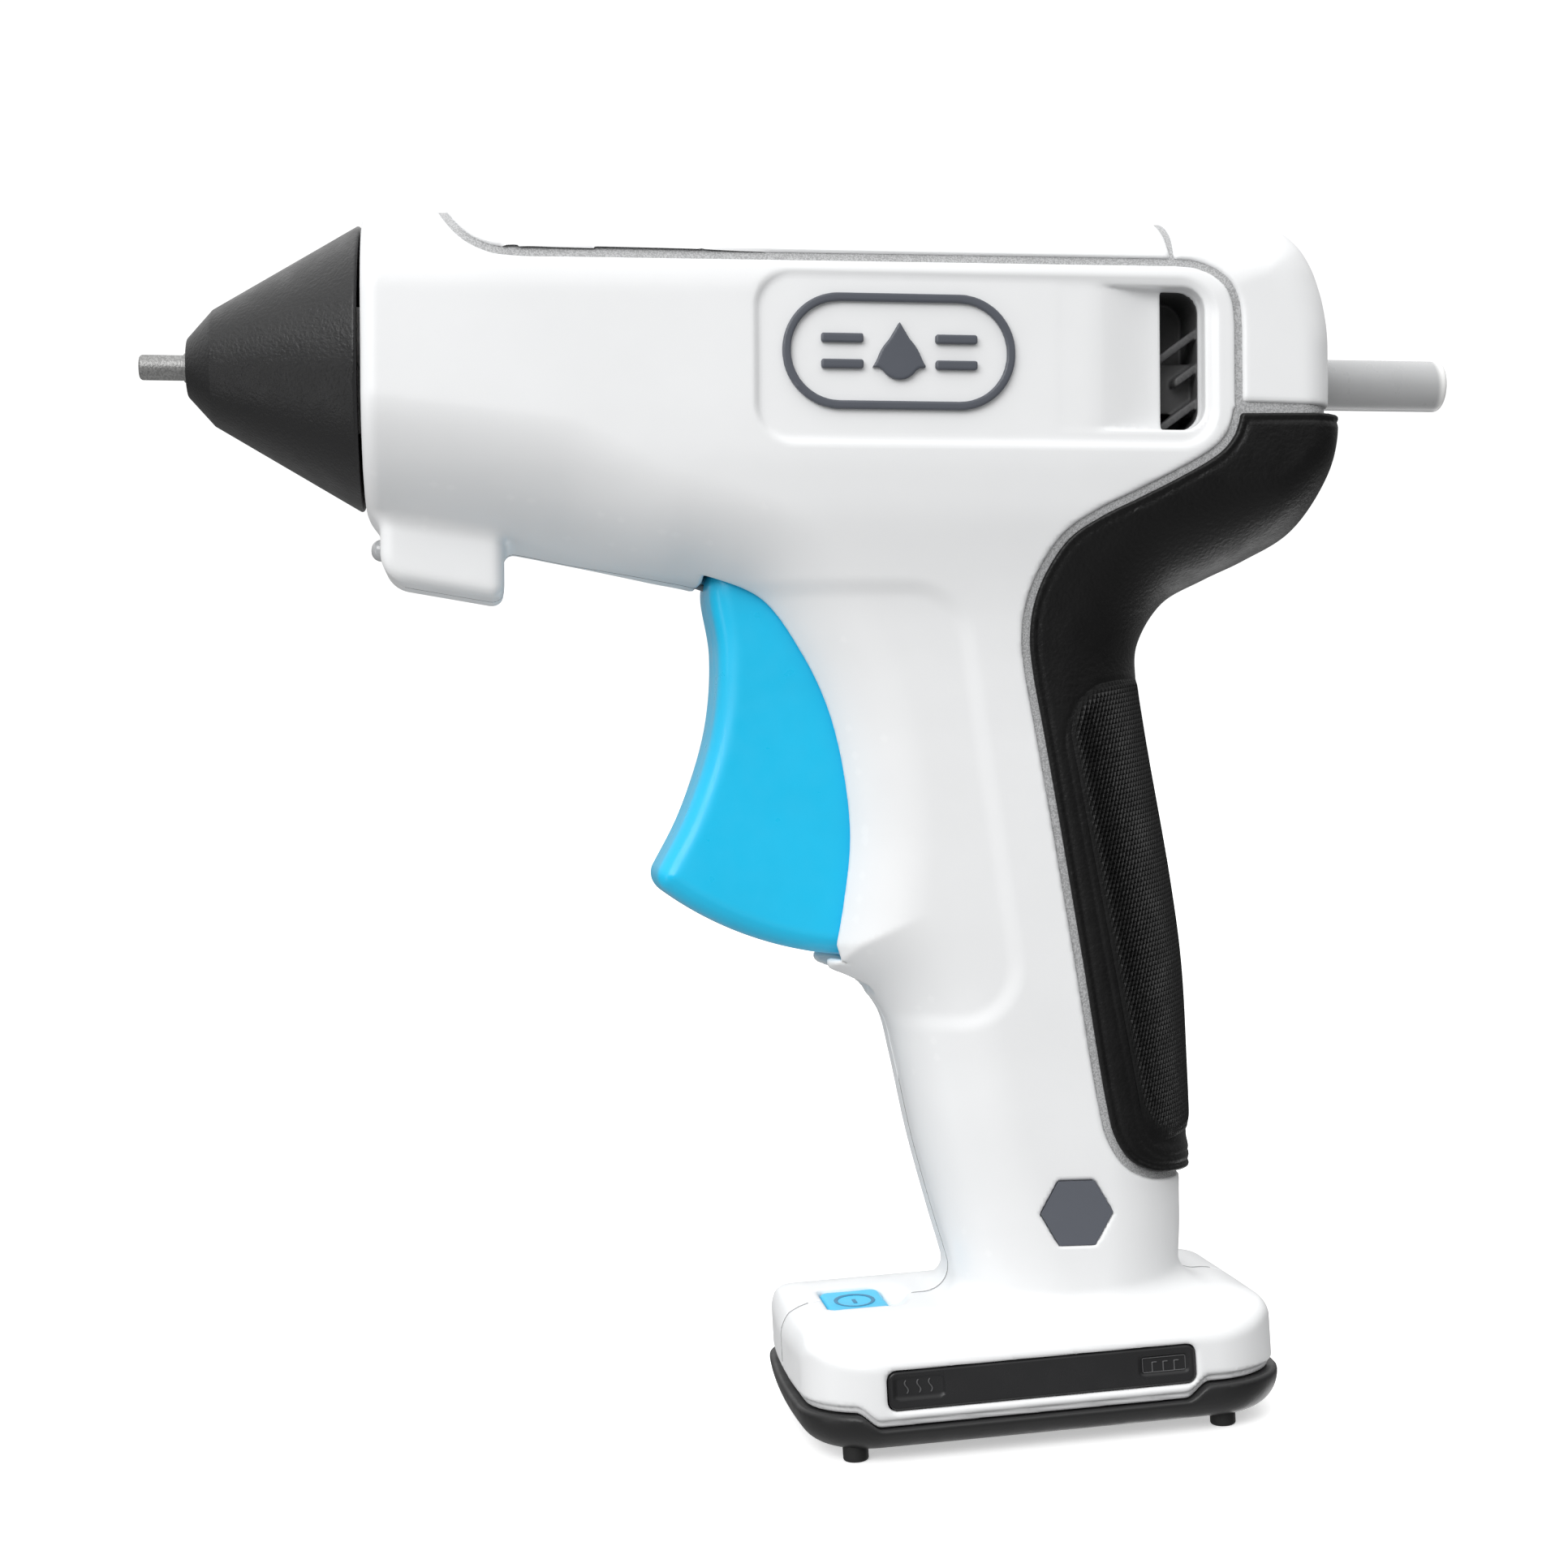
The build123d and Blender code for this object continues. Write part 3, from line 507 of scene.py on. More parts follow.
def trigger_field(x, y, z):
    """Finger blade, hub on the pin, and the two arms that reach up to the carriage."""
    ay = np.abs(y)
    sweep = np.hypot(x - PIVOT[0], z - PIVOT[1])
    blade = meet(TRIGGER_EDGE(x, z), sweep - TRIGGER_SWEEP, 2.2)
    crown = 0.35 * np.clip(ay / TRIGGER_HALF, 0, 1) ** 2
    blade = meet(blade + crown, ay - TRIGGER_HALF, 2.8)
    hub = np.maximum(sweep - 5.2, ay - 11.0)
    lean = math.radians(9.0)
    along = (x - PIVOT[0]) * math.sin(lean) + (z - PIVOT[1]) * math.cos(lean)
    aside = (x - PIVOT[0]) * math.cos(lean) - (z - PIVOT[1]) * math.sin(lean)
    arm = meet(np.abs(aside) - 4.2, np.abs(along - 19.0) - 19.0, 1.0)
    arm = cut(arm, np.maximum(np.abs(aside) - 2.35, 31.5 - along), 0.4)
    arm = np.maximum(arm, np.abs(ay - 9.5) - 1.5)
    lever = join(np.minimum(blade, hub), arm, 0.8)
    return cut(lever, sweep - 2.05, 0.2)


def tray_field(x, y, z):
    """Black tray of the base: a rounded dish with four screw posts, dipped like the housing's edge."""
    above = plan(x, y)
    tray = meet(above - 0.7, 1.6 - z, 4.6)
    tray = cut(tray, np.maximum(above + 2.2, 3.6 - z), 0.4)
    for sx, sy in TRAY_SCREWS:
        post = np.maximum(np.hypot(x - sx, y - sy) - 3.2, np.maximum(z - 8.6, 1.8 - z))
        tray = join(tray, post, 0.5)
    for sx, sy in TRAY_SCREWS:
        tray = cut(tray, np.maximum(np.hypot(x - sx, y - sy) - SCREW_HEAD, z - 3.5), 0.25)
        tray = cut(tray, np.hypot(x - sx, y - sy) - SCREW_SHANK, 0.1)
    lipped = meet(tray, z - lip(x, y) + 0.12, 0.5)
    return np.minimum(lipped, np.maximum(tray, np.maximum(above + 3.5, z - 8.6)))


def button_dish(u, y):
    """Height of the button's top, hollowed for a fingertip; u is measured from the button's middle."""
    return BUTTON_TOP - 0.3 * np.exp(-((u / 3.2) ** 2 + (y / 4.6) ** 2))


def button_field(x, y, z):
    u = x - BUTTON_X
    cap = meet(rounded_box(u, y, 4.3, 6.2, 1.4), z - button_dish(u, y), 0.75)
    flange = np.maximum(rounded_box(u, y, 5.3, 7.2, 1.0), z - 14.2)
    return np.maximum(np.minimum(cap, flange), 13.5 - z)


def button_mark_field(x, y, z):
    u = x - BUTTON_X
    ring = np.abs((np.sqrt((u / 2.6) ** 2 + (y / 3.5) ** 2) - 1) * 3.0) - 0.34
    bar = rounded_box(u, y, 0.3, 1.25, 0.15)
    return np.maximum(np.minimum(ring, bar), np.abs(z - button_dish(u, y) + 0.1) - 0.16)


def window_field(x, y, z):
    pane = rounded_box(x - WINDOW[0], z - WINDOW[1], WINDOW[2] - 0.15, WINDOW[3] - 0.15, WINDOW[4] - 0.1)
    lens = meet(pane, -0.3 - WINDOW_FACE - y, 0.3)
    lens = np.maximum(lens, y + WINDOW_FACE - 1.0)
    for middle, half, low, high in ((2.0, 3.3, 8.5, 11.5), (34.9, 3.3, 8.6, 11.1)):
        pocket = rounded_box(x - middle, z - (low + high) / 2, half, (high - low) / 2, 0.5)
        lens = cut(lens, meet(pocket, y + WINDOW_FACE, 0.15), 0.12)
    return lens


def marks_field(x, y, z):
    """Signs behind the window: three heat waves in front, and a gauge of three hooks in a frame behind."""
    marks = FAR
    for middle in (0.3, 1.95, 3.5):
        wave = np.abs(x - middle - 0.22 * np.sin((z - 9.1) * 3.4)) - 0.09
        marks = np.minimum(marks, np.maximum(wave, np.abs(z - 10.0) - 0.9))
    for left in (33.3, 34.8, 36.3):
        stem = np.maximum(np.abs(x - left) - 0.09, np.abs(z - 9.6) - 0.65)
        arm = np.maximum(np.abs(x - left - 0.3) - 0.35, np.abs(z - 10.2) - 0.08)
        marks = np.minimum(marks, np.minimum(stem, arm))
    frame_line = np.abs(rounded_box(x - 34.9, z - 9.85, 2.9, 0.95, 0.15)) - 0.05
    return np.maximum(np.minimum(marks, frame_line), np.abs(y + WINDOW_FACE + 0.02) - 0.12)


def badge_field(side):
    """Raised mark: a drop between two pairs of bars, in a long ring."""
    def field(x, y, z):
        u, w = x - 8.2, z
        pill = np.abs(rounded_box(u, w, 14.95, 7.05, 7.0)) - 0.55
        drop = np.hypot(u, w + 1.1) - 2.6
        point = np.maximum(np.abs(u) * 0.857 + (w - 3.9) * 0.515, -1.0 - w - 1.1)
        mark = np.minimum(pill, join(drop, point, 0.6))
        for bx in (-7.6, 7.6):
            for bz in (-1.7, 1.7):
                mark = np.minimum(mark, rounded_box(u - bx, w - bz, 2.8, 0.6, 0.3))
        return meet(mark, np.abs(side * y - PANEL_FACE - 0.36) - 0.38, 0.14)

    return field


def vent_field(side):
    """Grille behind the vent: a box, three sloping ribs of which the middle one is short, and a block."""
    def field(x, y, z):
        ay = side * y
        across, along = np.abs(x - 47.0), np.abs(z + 0.15)
        walls = np.maximum(np.maximum(across - 3.6, along - 10.2), np.abs(ay - 13.0) - 4.1)
        walls = np.maximum(walls, -np.maximum(VENT(x, z), 9.6 - ay))
        ribs = FAR
        for height, front in ((3.9, 0.0), (-0.8, 46.6), (-5.5, 0.0)):
            band = np.abs((z - height) * 0.813 - (x - 49.6) * 0.582) - 0.5
            ribs = np.minimum(ribs, np.maximum(band, front - x))
        ribs = np.maximum(ribs, np.maximum(across - 3.1, np.abs(ay - 15.2) - 1.6))
        block = np.maximum(across - 3.0, np.maximum(np.abs(z + 3.3) - 3.4, np.abs(ay - 11.5) - 2.6))
        return np.minimum(walls, np.minimum(np.maximum(ribs, along - 9.8), block))

    return field


pieces["trigger"] = shape("trigger_blade", trigger_field, (-26, -12, -82), (20, 12, 6), CELL)
pieces["base_tray"] = shape("tray", tray_field, (-18, -26, 0), (57, 26, 10), CELL, standing_points)
pieces["power_button"] = shape(
    "button_cap", button_field, (-10, -9, 13), (5, 9, 18.2), FINE, standing_points)
pieces["indicator_window"] = shape(
    "window_lens", window_field, (-4, -24.2, 6), (41, -21.2, 13), 0.3, standing_points)
for side, name in ((-1, "left"), (1, "right")):
    y0, y1 = sorted((side * 19.2, side * 22.2))
    pieces[name + "_badge"] = shape(
        name + "_badge_mark", badge_field(side), (-9, y0, -9), (26, y1, 9), 0.25)
    y0, y1 = sorted((side * 8.0, side * 18.2))
    pieces[name + "_vent_grille"] = shape(
        name + "_vent_ribs", vent_field(side), (42, y0, -11.5), (51.5, y1, 11), FINE)
button_mark = shape("button_mark", button_mark_field, (-6, -5, 16.0), (1, 5, 17.6), 0.15, standing_points)
window_marks = shape("window_marks", marks_field, (-1.5, -23.5, 7.6), (39, -22.6, 12), 0.1, standing_points)
# surface details that replace no node, each with the body it rides on
extra = {"button_mark": (button_mark, "button"), "window_marks": (window_marks, "root")}


# ---------------------------------------------------------------- turned parts
def turned(name, profile, place, segments=128, arc_step=15.0):
    """Solid turned from (station, radius, corner radius) points; place maps (station, u, v) to metres."""
    ring = [(p[0], max(p[1], 0.0)) for p in rounded(profile, arc_step)]
    refined = []
    for (a0, r0), (a1, r1) in zip(ring, ring[1:] + ring[:1]):
        refined.append((a0, r0))
        span = math.hypot(a1 - a0, r1 - r0)
        if span > 1.0 and max(r0, r1) > 0.01:
            for t in (0.12 / span, 1 - 0.12 / span):
                refined.append((a0 + (a1 - a0) * t, r0 + (r1 - r0) * t))
    form = bmesh.new()
    loops = []
    for station, radius in refined:
        if radius < 1e-4:
            loops.append([form.verts.new(place(station, 0.0, 0.0))])
            continue
        ring = []
        for k in range(segments):
            turn = k * math.tau / segments
            ring.append(form.verts.new(place(station, radius * math.cos(turn), radius * math.sin(turn))))
        loops.append(ring)
    for a, b in zip(loops, loops[1:] + loops[:1]):
        for k in range(segments):
            corners = [a[k % len(a)], a[(k + 1) % len(a)], b[(k + 1) % len(b)], b[k % len(b)]]
            unique = list(dict.fromkeys(corners))
            if len(unique) > 2:
                form.faces.new(unique)
    bmesh.ops.recalc_face_normals(form, faces=form.faces)
    mesh = bpy.data.meshes.new(name)
    form.to_mesh(mesh)
    form.free()
    mesh.polygons.foreach_set("use_smooth", [True] * len(mesh.polygons))
    thing = bpy.data.objects.new(name, mesh)
    bpy.context.scene.collection.objects.link(thing)
    return thing


def along_barrel(centre_z=0.0):
    def place(station, u, v):
        xs, zs = to_standing(station, v + centre_z)
        return Vector((xs, u, zs)) * MM
    return place


def upright(centre_x, centre_y):
    return lambda station, u, v: Vector((centre_x + u, centre_y + v, station)) * MM


pieces["nozzle_cone"] = turned("cone", [
    (-85.5, 2.2, 0.25), (-85.5, 3.9, 0.5), (-82.0, 7.8, 0.6), (-62.2, 19.4, 0.35), (-62.2, 17.2, 0.3),
    (-80.8, 6.8, 0.5), (-83.7, 3.5, 0.3), (-83.7, 2.2, 0.2)], along_barrel(), 192)
pieces["nozzle_tip"] = turned("tip", [
    (-91.9, 0.7, 0.15), (-91.9, 1.7, 0.5), (-86.0, 1.7, 0.1), (-86.0, 1.95, 0.1), (-83.4, 1.95, 0.1),
    (-83.4, 3.1, 0.2), (-80.2, 3.1, 0.2), (-80.2, 0.7, 0.1)], along_barrel(), 96)
pieces["rear_stick"] = turned("stick", [
    (-10.0, 0, 0), (-10.0, 3.6, 0.4), (90.9, 3.6, 0.8), (90.9, 0, 0)], along_barrel(), 96)
pieces["worklight_led"] = turned("light_lens", [
    (-61.3, 0, 0), (-61.3, 1.5, 1.35), (-56.4, 1.5, 0.1), (-56.4, 1.8, 0.1), (-56.0, 1.8, 0.1),
    (-56.0, 0, 0)], along_barrel(LIGHT_Z), 64)
FOOT = [(0.0, 0, 0), (0.0, 1.7, 0.35), (2.8, 1.7, 0.1), (2.8, 0, 0)]
feet = [turned("foot_%d" % k, FOOT, upright(fx, fy), 48) for k, (fx, fy) in enumerate(FEET)]

# ---------------------------------------------------------------- knurled panel of the grip
ROW_PITCH, COLUMN_PITCH, KNURL_HEIGHT = 0.64, 0.29, 0.42
KNURL_LENGTH, KNURL_CORNER = 63.0, 6.5
KNURL_TOP = np.array([30.8, -44.4])
KNURL_DOWN = np.array([0.182, -0.9833])
KNURL_OUT = np.array([0.9833, 0.182])


def knurl_panel():
    """Checkered panel wrapped round the back of the grip. Rays from a line inside the handle find the skin,
    each row is divided evenly from side to side, and every other point is lifted."""
    rows = int(KNURL_LENGTH / ROW_PITCH)
    start = KNURL_TOP[None, :] + np.arange(rows + 1)[:, None] * ROW_PITCH * KNURL_DOWN[None, :]
    hub = start + 4.0 * KNURL_OUT
    angle = np.linspace(-math.pi * 0.62, math.pi * 0.62, 241)
    dx = np.cos(angle)[None, :] * KNURL_OUT[0] * np.ones((rows + 1, 1))
    dz = np.cos(angle)[None, :] * KNURL_OUT[1] * np.ones((rows + 1, 1))
    dy = -np.sin(angle)[None, :] * np.ones((rows + 1, 1))
    near, far = np.full(dx.shape, 2.0), np.full(dx.shape, 34.0)
    for _ in range(26):
        middle = (near + far) / 2
        value = grip_form(hub[:, :1] + dx * middle, dy * middle, hub[:, 1:] + dz * middle)
        near = np.where(value < 0, middle, near)
        far = np.where(value < 0, far, middle)
    px, py, pz = hub[:, :1] + dx * near, dy * near, hub[:, 1:] + dz * near
    out_of_hub = (px - start[:, :1]) * KNURL_OUT[0] + (pz - start[:, 1:]) * KNURL_OUT[1]
    step = np.hypot(np.hypot(np.diff(px, axis=1), np.diff(py, axis=1)), np.diff(pz, axis=1))
    length = np.concatenate([np.zeros((rows + 1, 1)), np.cumsum(step, axis=1)], axis=1)
    middle = length.shape[1] // 2
    length = length - length[:, middle:middle + 1]
    reach = np.array([np.interp(-0.2, -out_of_hub[r, middle:], length[r, middle:])
                      for r in range(rows + 1)])
    columns = int(reach.mean() / COLUMN_PITCH)
    at = np.linspace(-1, 1, 2 * columns + 1)
    grid = np.zeros((rows + 1, len(at), 3))
    for r in range(rows + 1):
        for k, source in enumerate((px, py, pz)):
            grid[r, :, k] = np.interp(at * reach[r], length[r], source[r])
    x, y, z = grid[..., 0], grid[..., 1], grid[..., 2]
    small = 0.2
    normal = np.stack([grip_form(x + small, y, z) - grip_form(x - small, y, z),
                       grip_form(x, y + small, z) - grip_form(x, y - small, z),
                       grip_form(x, y, z + small) - grip_form(x, y, z - small)], axis=-1)
    normal /= np.linalg.norm(normal, axis=-1, keepdims=True)
    side_edge = (columns - np.abs(np.arange(-columns, columns + 1))) * COLUMN_PITCH
    end_edge = np.minimum(np.arange(rows + 1), rows - np.arange(rows + 1)) * ROW_PITCH
    a = np.maximum(KNURL_CORNER - side_edge[None, :], 0)
    b = np.maximum(KNURL_CORNER - end_edge[:, None], 0)
    nearest = np.minimum(side_edge[None, :], end_edge[:, None])
    edge = np.where((a > 0) & (b > 0), KNURL_CORNER - np.hypot(a, b), nearest)
    fade = ease(0.2, 1.7, edge)
    checker = (np.add.outer(np.arange(rows + 1), np.arange(len(at))) % 2) * 1.0
    lift = -0.12 + ease(-0.2, 0.5, edge) * 0.13 + fade * (checker * KNURL_HEIGHT - 0.2)
    front = grid + normal * lift[..., None]
    back = grid - normal * 1.0
    n, m = rows + 1, len(at)
    shift = n * m  # from a point of the front sheet to its twin on the back sheet
    points = np.vstack([front.reshape(-1, 3), back.reshape(-1, 3)])
    faces = []
    for r in range(n - 1):
        for c in range(m - 1):
            a0, b0, c0, d0 = r * m + c, r * m + c + 1, (r + 1) * m + c + 1, (r + 1) * m + c
            if (r + c) % 2 == 0:
                faces += [(a0, d0, b0), (b0, d0, c0)]
            else:
                faces += [(a0, d0, c0), (a0, c0, b0)]
            faces.append((a0 + shift, b0 + shift, c0 + shift, d0 + shift))
    border = list(range(m)) + [r * m + m - 1 for r in range(1, n)]
    border += [(n - 1) * m + c for c in range(m - 2, -1, -1)] + [r * m for r in range(n - 2, 0, -1)]
    for a0, b0 in zip(border, border[1:] + border[:1]):
        faces.append((a0, b0, b0 + shift, a0 + shift))
    mesh = bpy.data.meshes.new("knurl_panel")
    mesh.from_pydata(gun_points(points).tolist(), [], faces)
    form = bmesh.new()
    form.from_mesh(mesh)
    bmesh.ops.recalc_face_normals(form, faces=form.faces)
    form.to_mesh(mesh)
    form.free()
    mesh.update()
    thing = bpy.data.objects.new("knurl_panel", mesh)
    bpy.context.scene.collection.objects.link(thing)
    return thing


# ---------------------------------------------------------------- seam of the two halves, a grey sheet of painted shade
SEAM_SQUEEZE = 0.25  # the line is thin, so it is meshed at four times its width


def seam_shade_field(x, stretched, z):
    """Grey sheet of painted seam shade on the centre plane, broken at the trigger, the button, the work light and
    the socket.
    """
    y = stretched * SEAM_SQUEEZE
    xs, zs = to_standing(x, z)
    form = body_form(x, 0.0, z)
    seam = np.maximum(np.maximum(form - 0.01, -(form + 0.9)), np.abs(y) - 0.16)
    seam = np.maximum(seam, REVEAL + 0.2 - cover_lines(x, z))
    sweep = np.hypot(x - PIVOT[0], z - PIVOT[1])
    seam = np.maximum(seam, np.minimum(TRIGGER_SWEEP + 1.1 - sweep, x - 8.0))
    seam = np.maximum(seam, np.minimum(7.2 - np.abs(xs - BUTTON_X - 0.9), zs - 9.0))
    seam = np.maximum(seam, -60.5 - x)
    seam = np.maximum(seam, 5.5 - np.abs(z - LIGHT_Z) - FAR * (x > -57.0))
    seam = np.maximum(seam, lip(xs, y) + 1.6 - zs)
    return np.maximum(seam, 2.6 - np.abs(zs - SOCKET_HEIGHT) - FAR * (xs < 44.0))


# the grey sheet sits in the gap between the halves and paints the gap's shade
seam = shape("seam", seam_shade_field, (-61, -1.8, BOTTOM), (56, 1.8, 22), CELL,
             lambda points: gun_points(points * [1.0, SEAM_SQUEEZE, 1.0]))
extra["seam"] = (seam, "root")
extra["knurl_panel"] = (knurl_panel(), "root")


# ---------------------------------------------------------------- return spring
SPRING_START, SPRING_END, SPRING_TURNS = -12.50, 4.5, 9
SPRING_RADIUS, SPRING_WIRE, SPRING_AXIS_Z = 2.6, 0.35, -10.5
SPRING_STROKE, SPRING_SIDES = 10.8, 10


def spring_coil():
    """Round wire wound on a helix about the lower rail, closed at both ends."""
    along = np.linspace(0, 1, 32 * SPRING_TURNS + 1)[:, None]
    turn = along * SPRING_TURNS * math.tau
    section = np.arange(SPRING_SIDES)[None, :] * math.tau / SPRING_SIDES
    reach = SPRING_RADIUS + SPRING_WIRE * np.cos(section)
    x = SPRING_START + (SPRING_END - SPRING_START) * along + SPRING_WIRE * np.sin(section)
    points = np.stack([x, reach * np.cos(turn), SPRING_AXIS_Z + reach * np.sin(turn)], axis=-1)
    points = points.reshape(-1, 3)
    faces = []
    for start in range(0, len(points) - SPRING_SIDES, SPRING_SIDES):
        for k in range(SPRING_SIDES):
            a, b = start + k, start + (k + 1) % SPRING_SIDES
            faces.append((a, b, b + SPRING_SIDES, a + SPRING_SIDES))
    last = len(points) - SPRING_SIDES
    for k in range(1, SPRING_SIDES - 2, 2):
        faces += [(0, k + 2, k + 1, k), (last, last + k, last + k + 1, last + k + 2)]
    return new_object("spring_coil", gun_points(points), faces)


pieces["return_spring"] = spring_coil()


# ---------------------------------------------------------------- materials
ROUGH_SPREAD = 0.06


def colour_socket(sockets, name):
    return [s for s in sockets if s.name == name and s.type == "RGBA"][0]


def material(name, colour, rough, grain=0.3, depth=0.0, metal=0.0, mottle=0.04, wear=0.0, coat=0.0,
             specular=0.5, speckle=0.0):
    """Moulded or metal surface: fine grain, slow colour drift, uneven gloss and paler worn edges.

    grain is the size of the grain and depth its height, both in millimetres."""
    made = bpy.data.materials.new(name)
    made.use_nodes = True
    nodes, links = made.node_tree.nodes, made.node_tree.links
    shader = nodes["Principled BSDF"]
    where = nodes.new("ShaderNodeTexCoord")

    def noise(size_mm, detail):
        node = nodes.new("ShaderNodeTexNoise")
        node.inputs["Scale"].default_value = 1.0 / (size_mm * MM)
        node.inputs["Detail"].default_value = detail
        links.new(where.outputs["Object"], node.inputs["Vector"])
        return node.outputs["Fac"]

    def spread(source, low, high, to_low, to_high):
        node = nodes.new("ShaderNodeMapRange")
        node.inputs["From Min"].default_value, node.inputs["From Max"].default_value = low, high
        node.inputs["To Min"].default_value, node.inputs["To Max"].default_value = to_low, to_high
        links.new(source, node.inputs["Value"])
        return node.outputs["Result"]

    def mix(factor, first, second):
        node = nodes.new("ShaderNodeMix")
        node.data_type = "RGBA"
        links.new(factor, node.inputs["Factor"])
        for socket, value in (("A", first), ("B", second)):
            target = colour_socket(node.inputs, socket)
            if isinstance(value, tuple):
                target.default_value = (*value, 1.0)
            else:
                links.new(value, target)
        return colour_socket(node.outputs, "Result")

    def paler(gain, lift):
        return tuple(min(1.0, c * gain + lift) for c in colour)

    dark = tuple(c * (1 - mottle) for c in colour)
    light = tuple(min(1.0, c * (1 + mottle)) for c in colour)
    shade = mix(spread(noise(14.0, 3), 0.3, 0.7, 0.0, 1.0), dark, light)
    fine = noise(grain, 3)
    if speckle:
        shade = mix(spread(fine, 0.44, 0.56, 0.0, speckle), shade, paler(2.4, 0.02))
    if wear:
        sharp = nodes.new("ShaderNodeNewGeometry").outputs["Pointiness"]
        shade = mix(spread(sharp, 0.53, 0.62, 0.0, wear), shade, paler(1.5, 0.05))
    links.new(shade, shader.inputs["Base Color"])
    gloss = spread(noise(3.0, 4), 0.3, 0.7, rough - ROUGH_SPREAD, rough + ROUGH_SPREAD)
    links.new(gloss, shader.inputs["Roughness"])
    if depth:
        bump = nodes.new("ShaderNodeBump")
        bump.inputs["Strength"].default_value = 1.0
        bump.inputs["Distance"].default_value = depth * MM
        links.new(fine, bump.inputs["Height"])
        links.new(bump.outputs["Normal"], shader.inputs["Normal"])
    shader.inputs["Metallic"].default_value = metal
    shader.inputs["Coat Weight"].default_value = coat
    shader.inputs["Specular IOR Level"].default_value = specular
    shader.inputs["IOR"].default_value = 1.45
    return made


# colour, roughness, grain size, grain height, other settings
LOOKS = {
    "white_shell": ((0.86, 0.868, 0.875), 0.36, 0.22, 0.006, dict(mottle=0.012, wear=0.15)),
    "grey_trim": ((0.34, 0.343, 0.347), 0.62, 0.2, 0.09, dict(mottle=0.05, speckle=0.35)),
    "grip_rubber": ((0.0035, 0.0035, 0.0036), 0.42, 0.55, 0.09, dict(mottle=0.1, specular=0.34)),
    "cone_plastic": ((0.01, 0.01, 0.0105), 0.36, 0.45, 0.08, dict(mottle=0.05)),
    "tip_metal": ((0.25, 0.25, 0.247), 0.5, 0.28, 0.05, dict(metal=0.9, mottle=0.15, speckle=0.25)),
    "cast_aluminium": ((0.6, 0.6, 0.6), 0.5, 0.5, 0.05, dict(metal=1.0, mottle=0.1)),
    "ceramic": ((0.82, 0.79, 0.73), 0.6, 0.3, 0.01, {}),
    "spring_steel": ((0.58, 0.58, 0.59), 0.3, 0.2, 0.004, dict(metal=1.0, mottle=0.08)),
    "heat_plastic": ((0.1, 0.095, 0.09), 0.6, 0.3, 0.02, {}),
    "silicone": ((0.5, 0.09, 0.06), 0.5, 0.5, 0.01, {}),
    "inner_plastic": ((0.05, 0.05, 0.052), 0.45, 0.4, 0.01, {}),
    "glue": ((0.47, 0.475, 0.48), 0.3, 1.2, 0.006, dict(mottle=0.05)),
    "cyan_plastic": ((0.012, 0.55, 0.88), 0.33, 0.3, 0.006, dict(mottle=0.03, coat=0.12)),
    "led_lens": ((0.42, 0.43, 0.44), 0.12, 0.4, 0.0, dict(mottle=0.05, coat=0.6)),
    "circuit_board": ((0.02, 0.13, 0.06), 0.35, 0.5, 0.01, {}),
    "cell_sleeve": ((0.05, 0.2, 0.1), 0.3, 2.0, 0.01, {}),
    "brass_plate": ((0.7, 0.56, 0.32), 0.3, 0.4, 0.005, dict(metal=1.0)),
    "base_plastic": ((0.016, 0.016, 0.0165), 0.4, 0.5, 0.02, dict(mottle=0.1, wear=0.08)),
    "foot_rubber": ((0.012, 0.012, 0.012), 0.6, 0.3, 0.02, {}),
    "smoked_window": ((0.018, 0.018, 0.019), 0.3, 0.5, 0.008, dict(mottle=0.2, specular=0.4)),
    "badge_grey": ((0.088, 0.096, 0.115), 0.4, 0.25, 0.004, dict(mottle=0.03, wear=0.25)),
    "vent_plastic": ((0.065, 0.065, 0.066), 0.55, 0.4, 0.02, dict(mottle=0.1)),
}
looks = {}
for name, (colour, rough, grain, depth, settings) in LOOKS.items():
    looks[name] = material(name, colour, rough, grain, depth, **settings)
mark_cyan = material("mark_cyan", (0.01, 0.2, 0.38), 0.4, 0.3, 0.002)
mark_dark = material("mark_dark", (0.1, 0.1, 0.103), 0.35, 0.3, 0.002)
# grey of the seam sheet: painted shade of the gap between the halves
painted_seam_shade = material("painted_seam_shade", (0.3, 0.3, 0.305), 0.6, 0.3, 0.002)


def paint_highlight_beyond(made, begin, full, colour):
    """Fade a material to another colour between two places along x: the painted highlight on the domed end of the
    glue stick.
    """
    nodes, links = made.node_tree.nodes, made.node_tree.links
    fade = nodes.new("ShaderNodeMapRange")
    fade.inputs["From Min"].default_value = begin
    fade.inputs["From Max"].default_value = full
    fade.interpolation_type = "SMOOTHSTEP"
    place_x = nodes.new("ShaderNodeSeparateXYZ")
    where = [n for n in nodes if n.type == "TEX_COORD"][0]
    links.new(where.outputs["Object"], place_x.inputs[0])
    links.new(place_x.outputs[0], fade.inputs["Value"])
    blend = nodes.new("ShaderNodeMix")
    blend.data_type = "RGBA"
    target = nodes["Principled BSDF"].inputs["Base Color"]
    plain = target.links[0].from_socket
    links.new(fade.outputs[0], blend.inputs["Factor"])
    links.new(plain, colour_socket(blend.inputs, "A"))
    colour_socket(blend.inputs, "B").default_value = colour
    links.new(colour_socket(blend.outputs, "Result"), target)


# near-white towards the stick's end paints the highlight on its domed end
paint_highlight_beyond(looks["glue"], stick_high.x - 0.0030, stick_high.x - 0.0019, (0.93, 0.93, 0.92, 1.0))

slot_of = {row["node"]: row["material_slot"] for row in frame["record"]["subparts"]}
body_of = {node: body for body, nodes in frame["record"]["behaviour"]["bodies"].items() for node in nodes}


def dress(thing, made):
    thing.data.materials.clear()
    thing.data.materials.append(made)


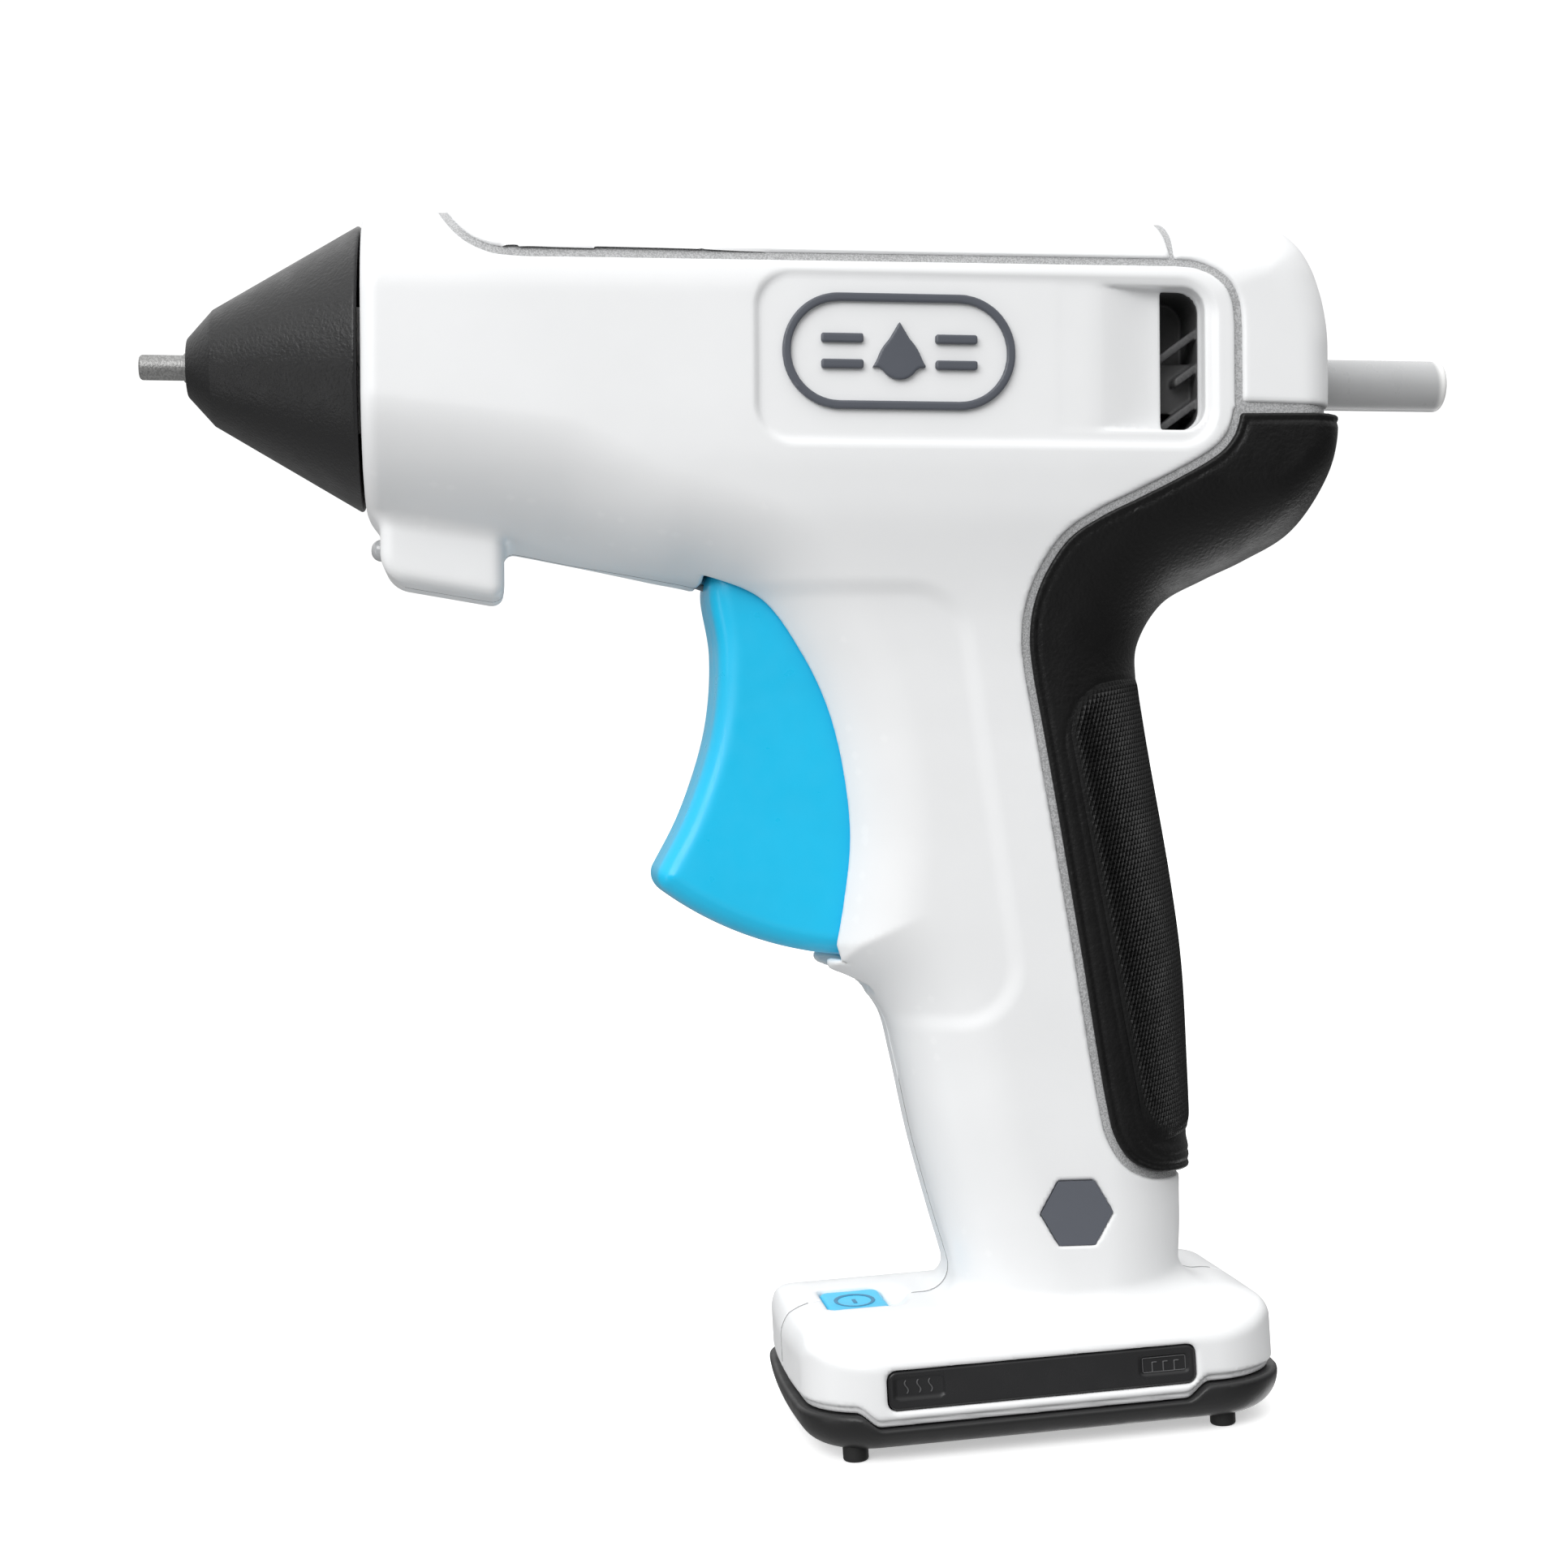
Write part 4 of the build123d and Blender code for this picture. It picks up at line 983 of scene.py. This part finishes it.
for name, thing in pieces.items():
    dress(thing, looks[slot_of[name]])
    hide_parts(name)
    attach(thing, body_of[name])
spring_foot = Vector(gun_points(np.array([[SPRING_START - SPRING_WIRE, 0.0, SPRING_AXIS_Z]]))[0])
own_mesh(pieces["return_spring"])
for k, thing in enumerate(feet):
    dress(thing, looks["foot_rubber"])
    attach(thing, "root")
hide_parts("feet")
for name, (thing, body) in extra.items():
    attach(thing, body)
dress(extra["button_mark"][0], mark_cyan)
dress(extra["window_marks"][0], mark_dark)
dress(extra["knurl_panel"][0], looks["grip_rubber"])
# the seam sheet takes the painted seam shade
dress(extra["seam"][0], painted_seam_shade)
for name, thing in frame["nodes"].items():
    dress(thing, looks[slot_of[name]])

# ---------------------------------------------------------------- floor, light, camera
FLOOR = 12
floor_mesh = bpy.data.meshes.new("floor")
floor_mesh.from_pydata([(-FLOOR, -FLOOR, 0), (FLOOR, -FLOOR, 0), (FLOOR, FLOOR, 0), (-FLOOR, FLOOR, 0)],
                       [], [(0, 1, 2, 3)])
floor = bpy.data.objects.new("floor", floor_mesh)
bpy.context.scene.collection.objects.link(floor)
paper = material("floor_paper", (0.93, 0.93, 0.93), 0.8, 1.0, 0.01, mottle=0.004)
glow = paper.node_tree.nodes["Principled BSDF"].inputs
glow["Emission Color"].default_value = (1.0, 1.0, 1.0, 1.0)
glow["Emission Strength"].default_value = 0.45
dress(floor, paper)
floor.visible_diffuse = False
floor.visible_glossy = False
floor.visible_shadow = False

world = bpy.data.worlds.new("studio")
bpy.context.scene.world = world
world.use_nodes = True
nodes, links = world.node_tree.nodes, world.node_tree.links
nodes.clear()


def math_node(operation, a, b):
    node = nodes.new("ShaderNodeMath")
    node.operation = operation
    for k, value in enumerate((a, b)):
        if isinstance(value, (int, float)):
            node.inputs[k].default_value = value
        else:
            links.new(value, node.inputs[k])
    return node.outputs[0]


direction = nodes.new("ShaderNodeSeparateXYZ")
links.new(nodes.new("ShaderNodeTexCoord").outputs["Generated"], direction.inputs[0])


def lobe(amount, rate, offset):
    """Brightness rising along one axis of the sky, never below zero."""
    node = nodes.new("ShaderNodeMath")
    node.operation = "MULTIPLY_ADD"
    node.use_clamp = True
    node.inputs[1].default_value, node.inputs[2].default_value = rate, offset
    links.new(amount, node.inputs[0])
    return node.outputs[0]


upward = lobe(direction.outputs[2], 1.0, 0.08)
below = lobe(direction.outputs[2], -1.0, 0.0)
behind = lobe(direction.outputs[1], 0.9, -0.1)
level = math_node("ADD", math_node("MULTIPLY", upward, 1.55), math_node("MULTIPLY", below, 0.6))
level = math_node("ADD", level, math_node("MULTIPLY", behind, 0.2))
path = nodes.new("ShaderNodeLightPath")
seen = math_node("MAXIMUM", math_node("MULTIPLY", path.outputs["Is Camera Ray"], 1.1), level)
background = nodes.new("ShaderNodeBackground")
background.inputs["Color"].default_value = (1.0, 1.0, 1.0, 1.0)
links.new(seen, background.inputs["Strength"])
links.new(background.outputs[0], nodes.new("ShaderNodeOutputWorld").inputs[0])


def softbox(name, place, aim, size, power):
    lamp = bpy.data.lights.new(name, "AREA")
    lamp.shape, lamp.size, lamp.size_y, lamp.energy = "RECTANGLE", size[0], size[1], power
    thing = bpy.data.objects.new(name, lamp)
    thing.location = place
    thing.rotation_euler = (Vector(aim) - Vector(place)).to_track_quat("-Z", "Y").to_euler()
    bpy.context.scene.collection.objects.link(thing)


AIM = (0.0, 0.0, 0.1)
softbox("key", (-0.5, -0.75, 0.6), AIM, (0.8, 0.6), 6.4)
softbox("fill", (-0.1, -0.9, -0.2), AIM, (0.9, 0.35), 0.4)
softbox("left", (-0.95, -0.3, -0.05), AIM, (0.3, 0.6), 0.8)
softbox("low_rear", (0.55, 0.6, -0.5), AIM, (0.7, 0.4), 1.5)

bpy.context.scene.view_settings.view_transform = "Standard"
HEADING, ROLL = math.radians(7.3), math.radians(3.5)
EYE = (-0.0496, -0.3253, 0.0918)
camera = bpy.data.objects.new("camera", bpy.data.cameras.new("camera"))
camera.data.lens = 54.04
camera.data.sensor_width = 36.0
camera.data.clip_start, camera.data.clip_end = 0.01, 100.0
right = Vector((math.cos(HEADING) * math.cos(ROLL), -math.sin(HEADING),
                -math.cos(HEADING) * math.sin(ROLL)))
up = Vector((math.sin(ROLL), 0.0, math.cos(ROLL)))
turn = Matrix((right, up, right.cross(up))).transposed().to_4x4()
camera.matrix_world = Matrix.Translation(EYE) @ turn
bpy.context.scene.collection.objects.link(camera)
bpy.context.scene.camera = camera
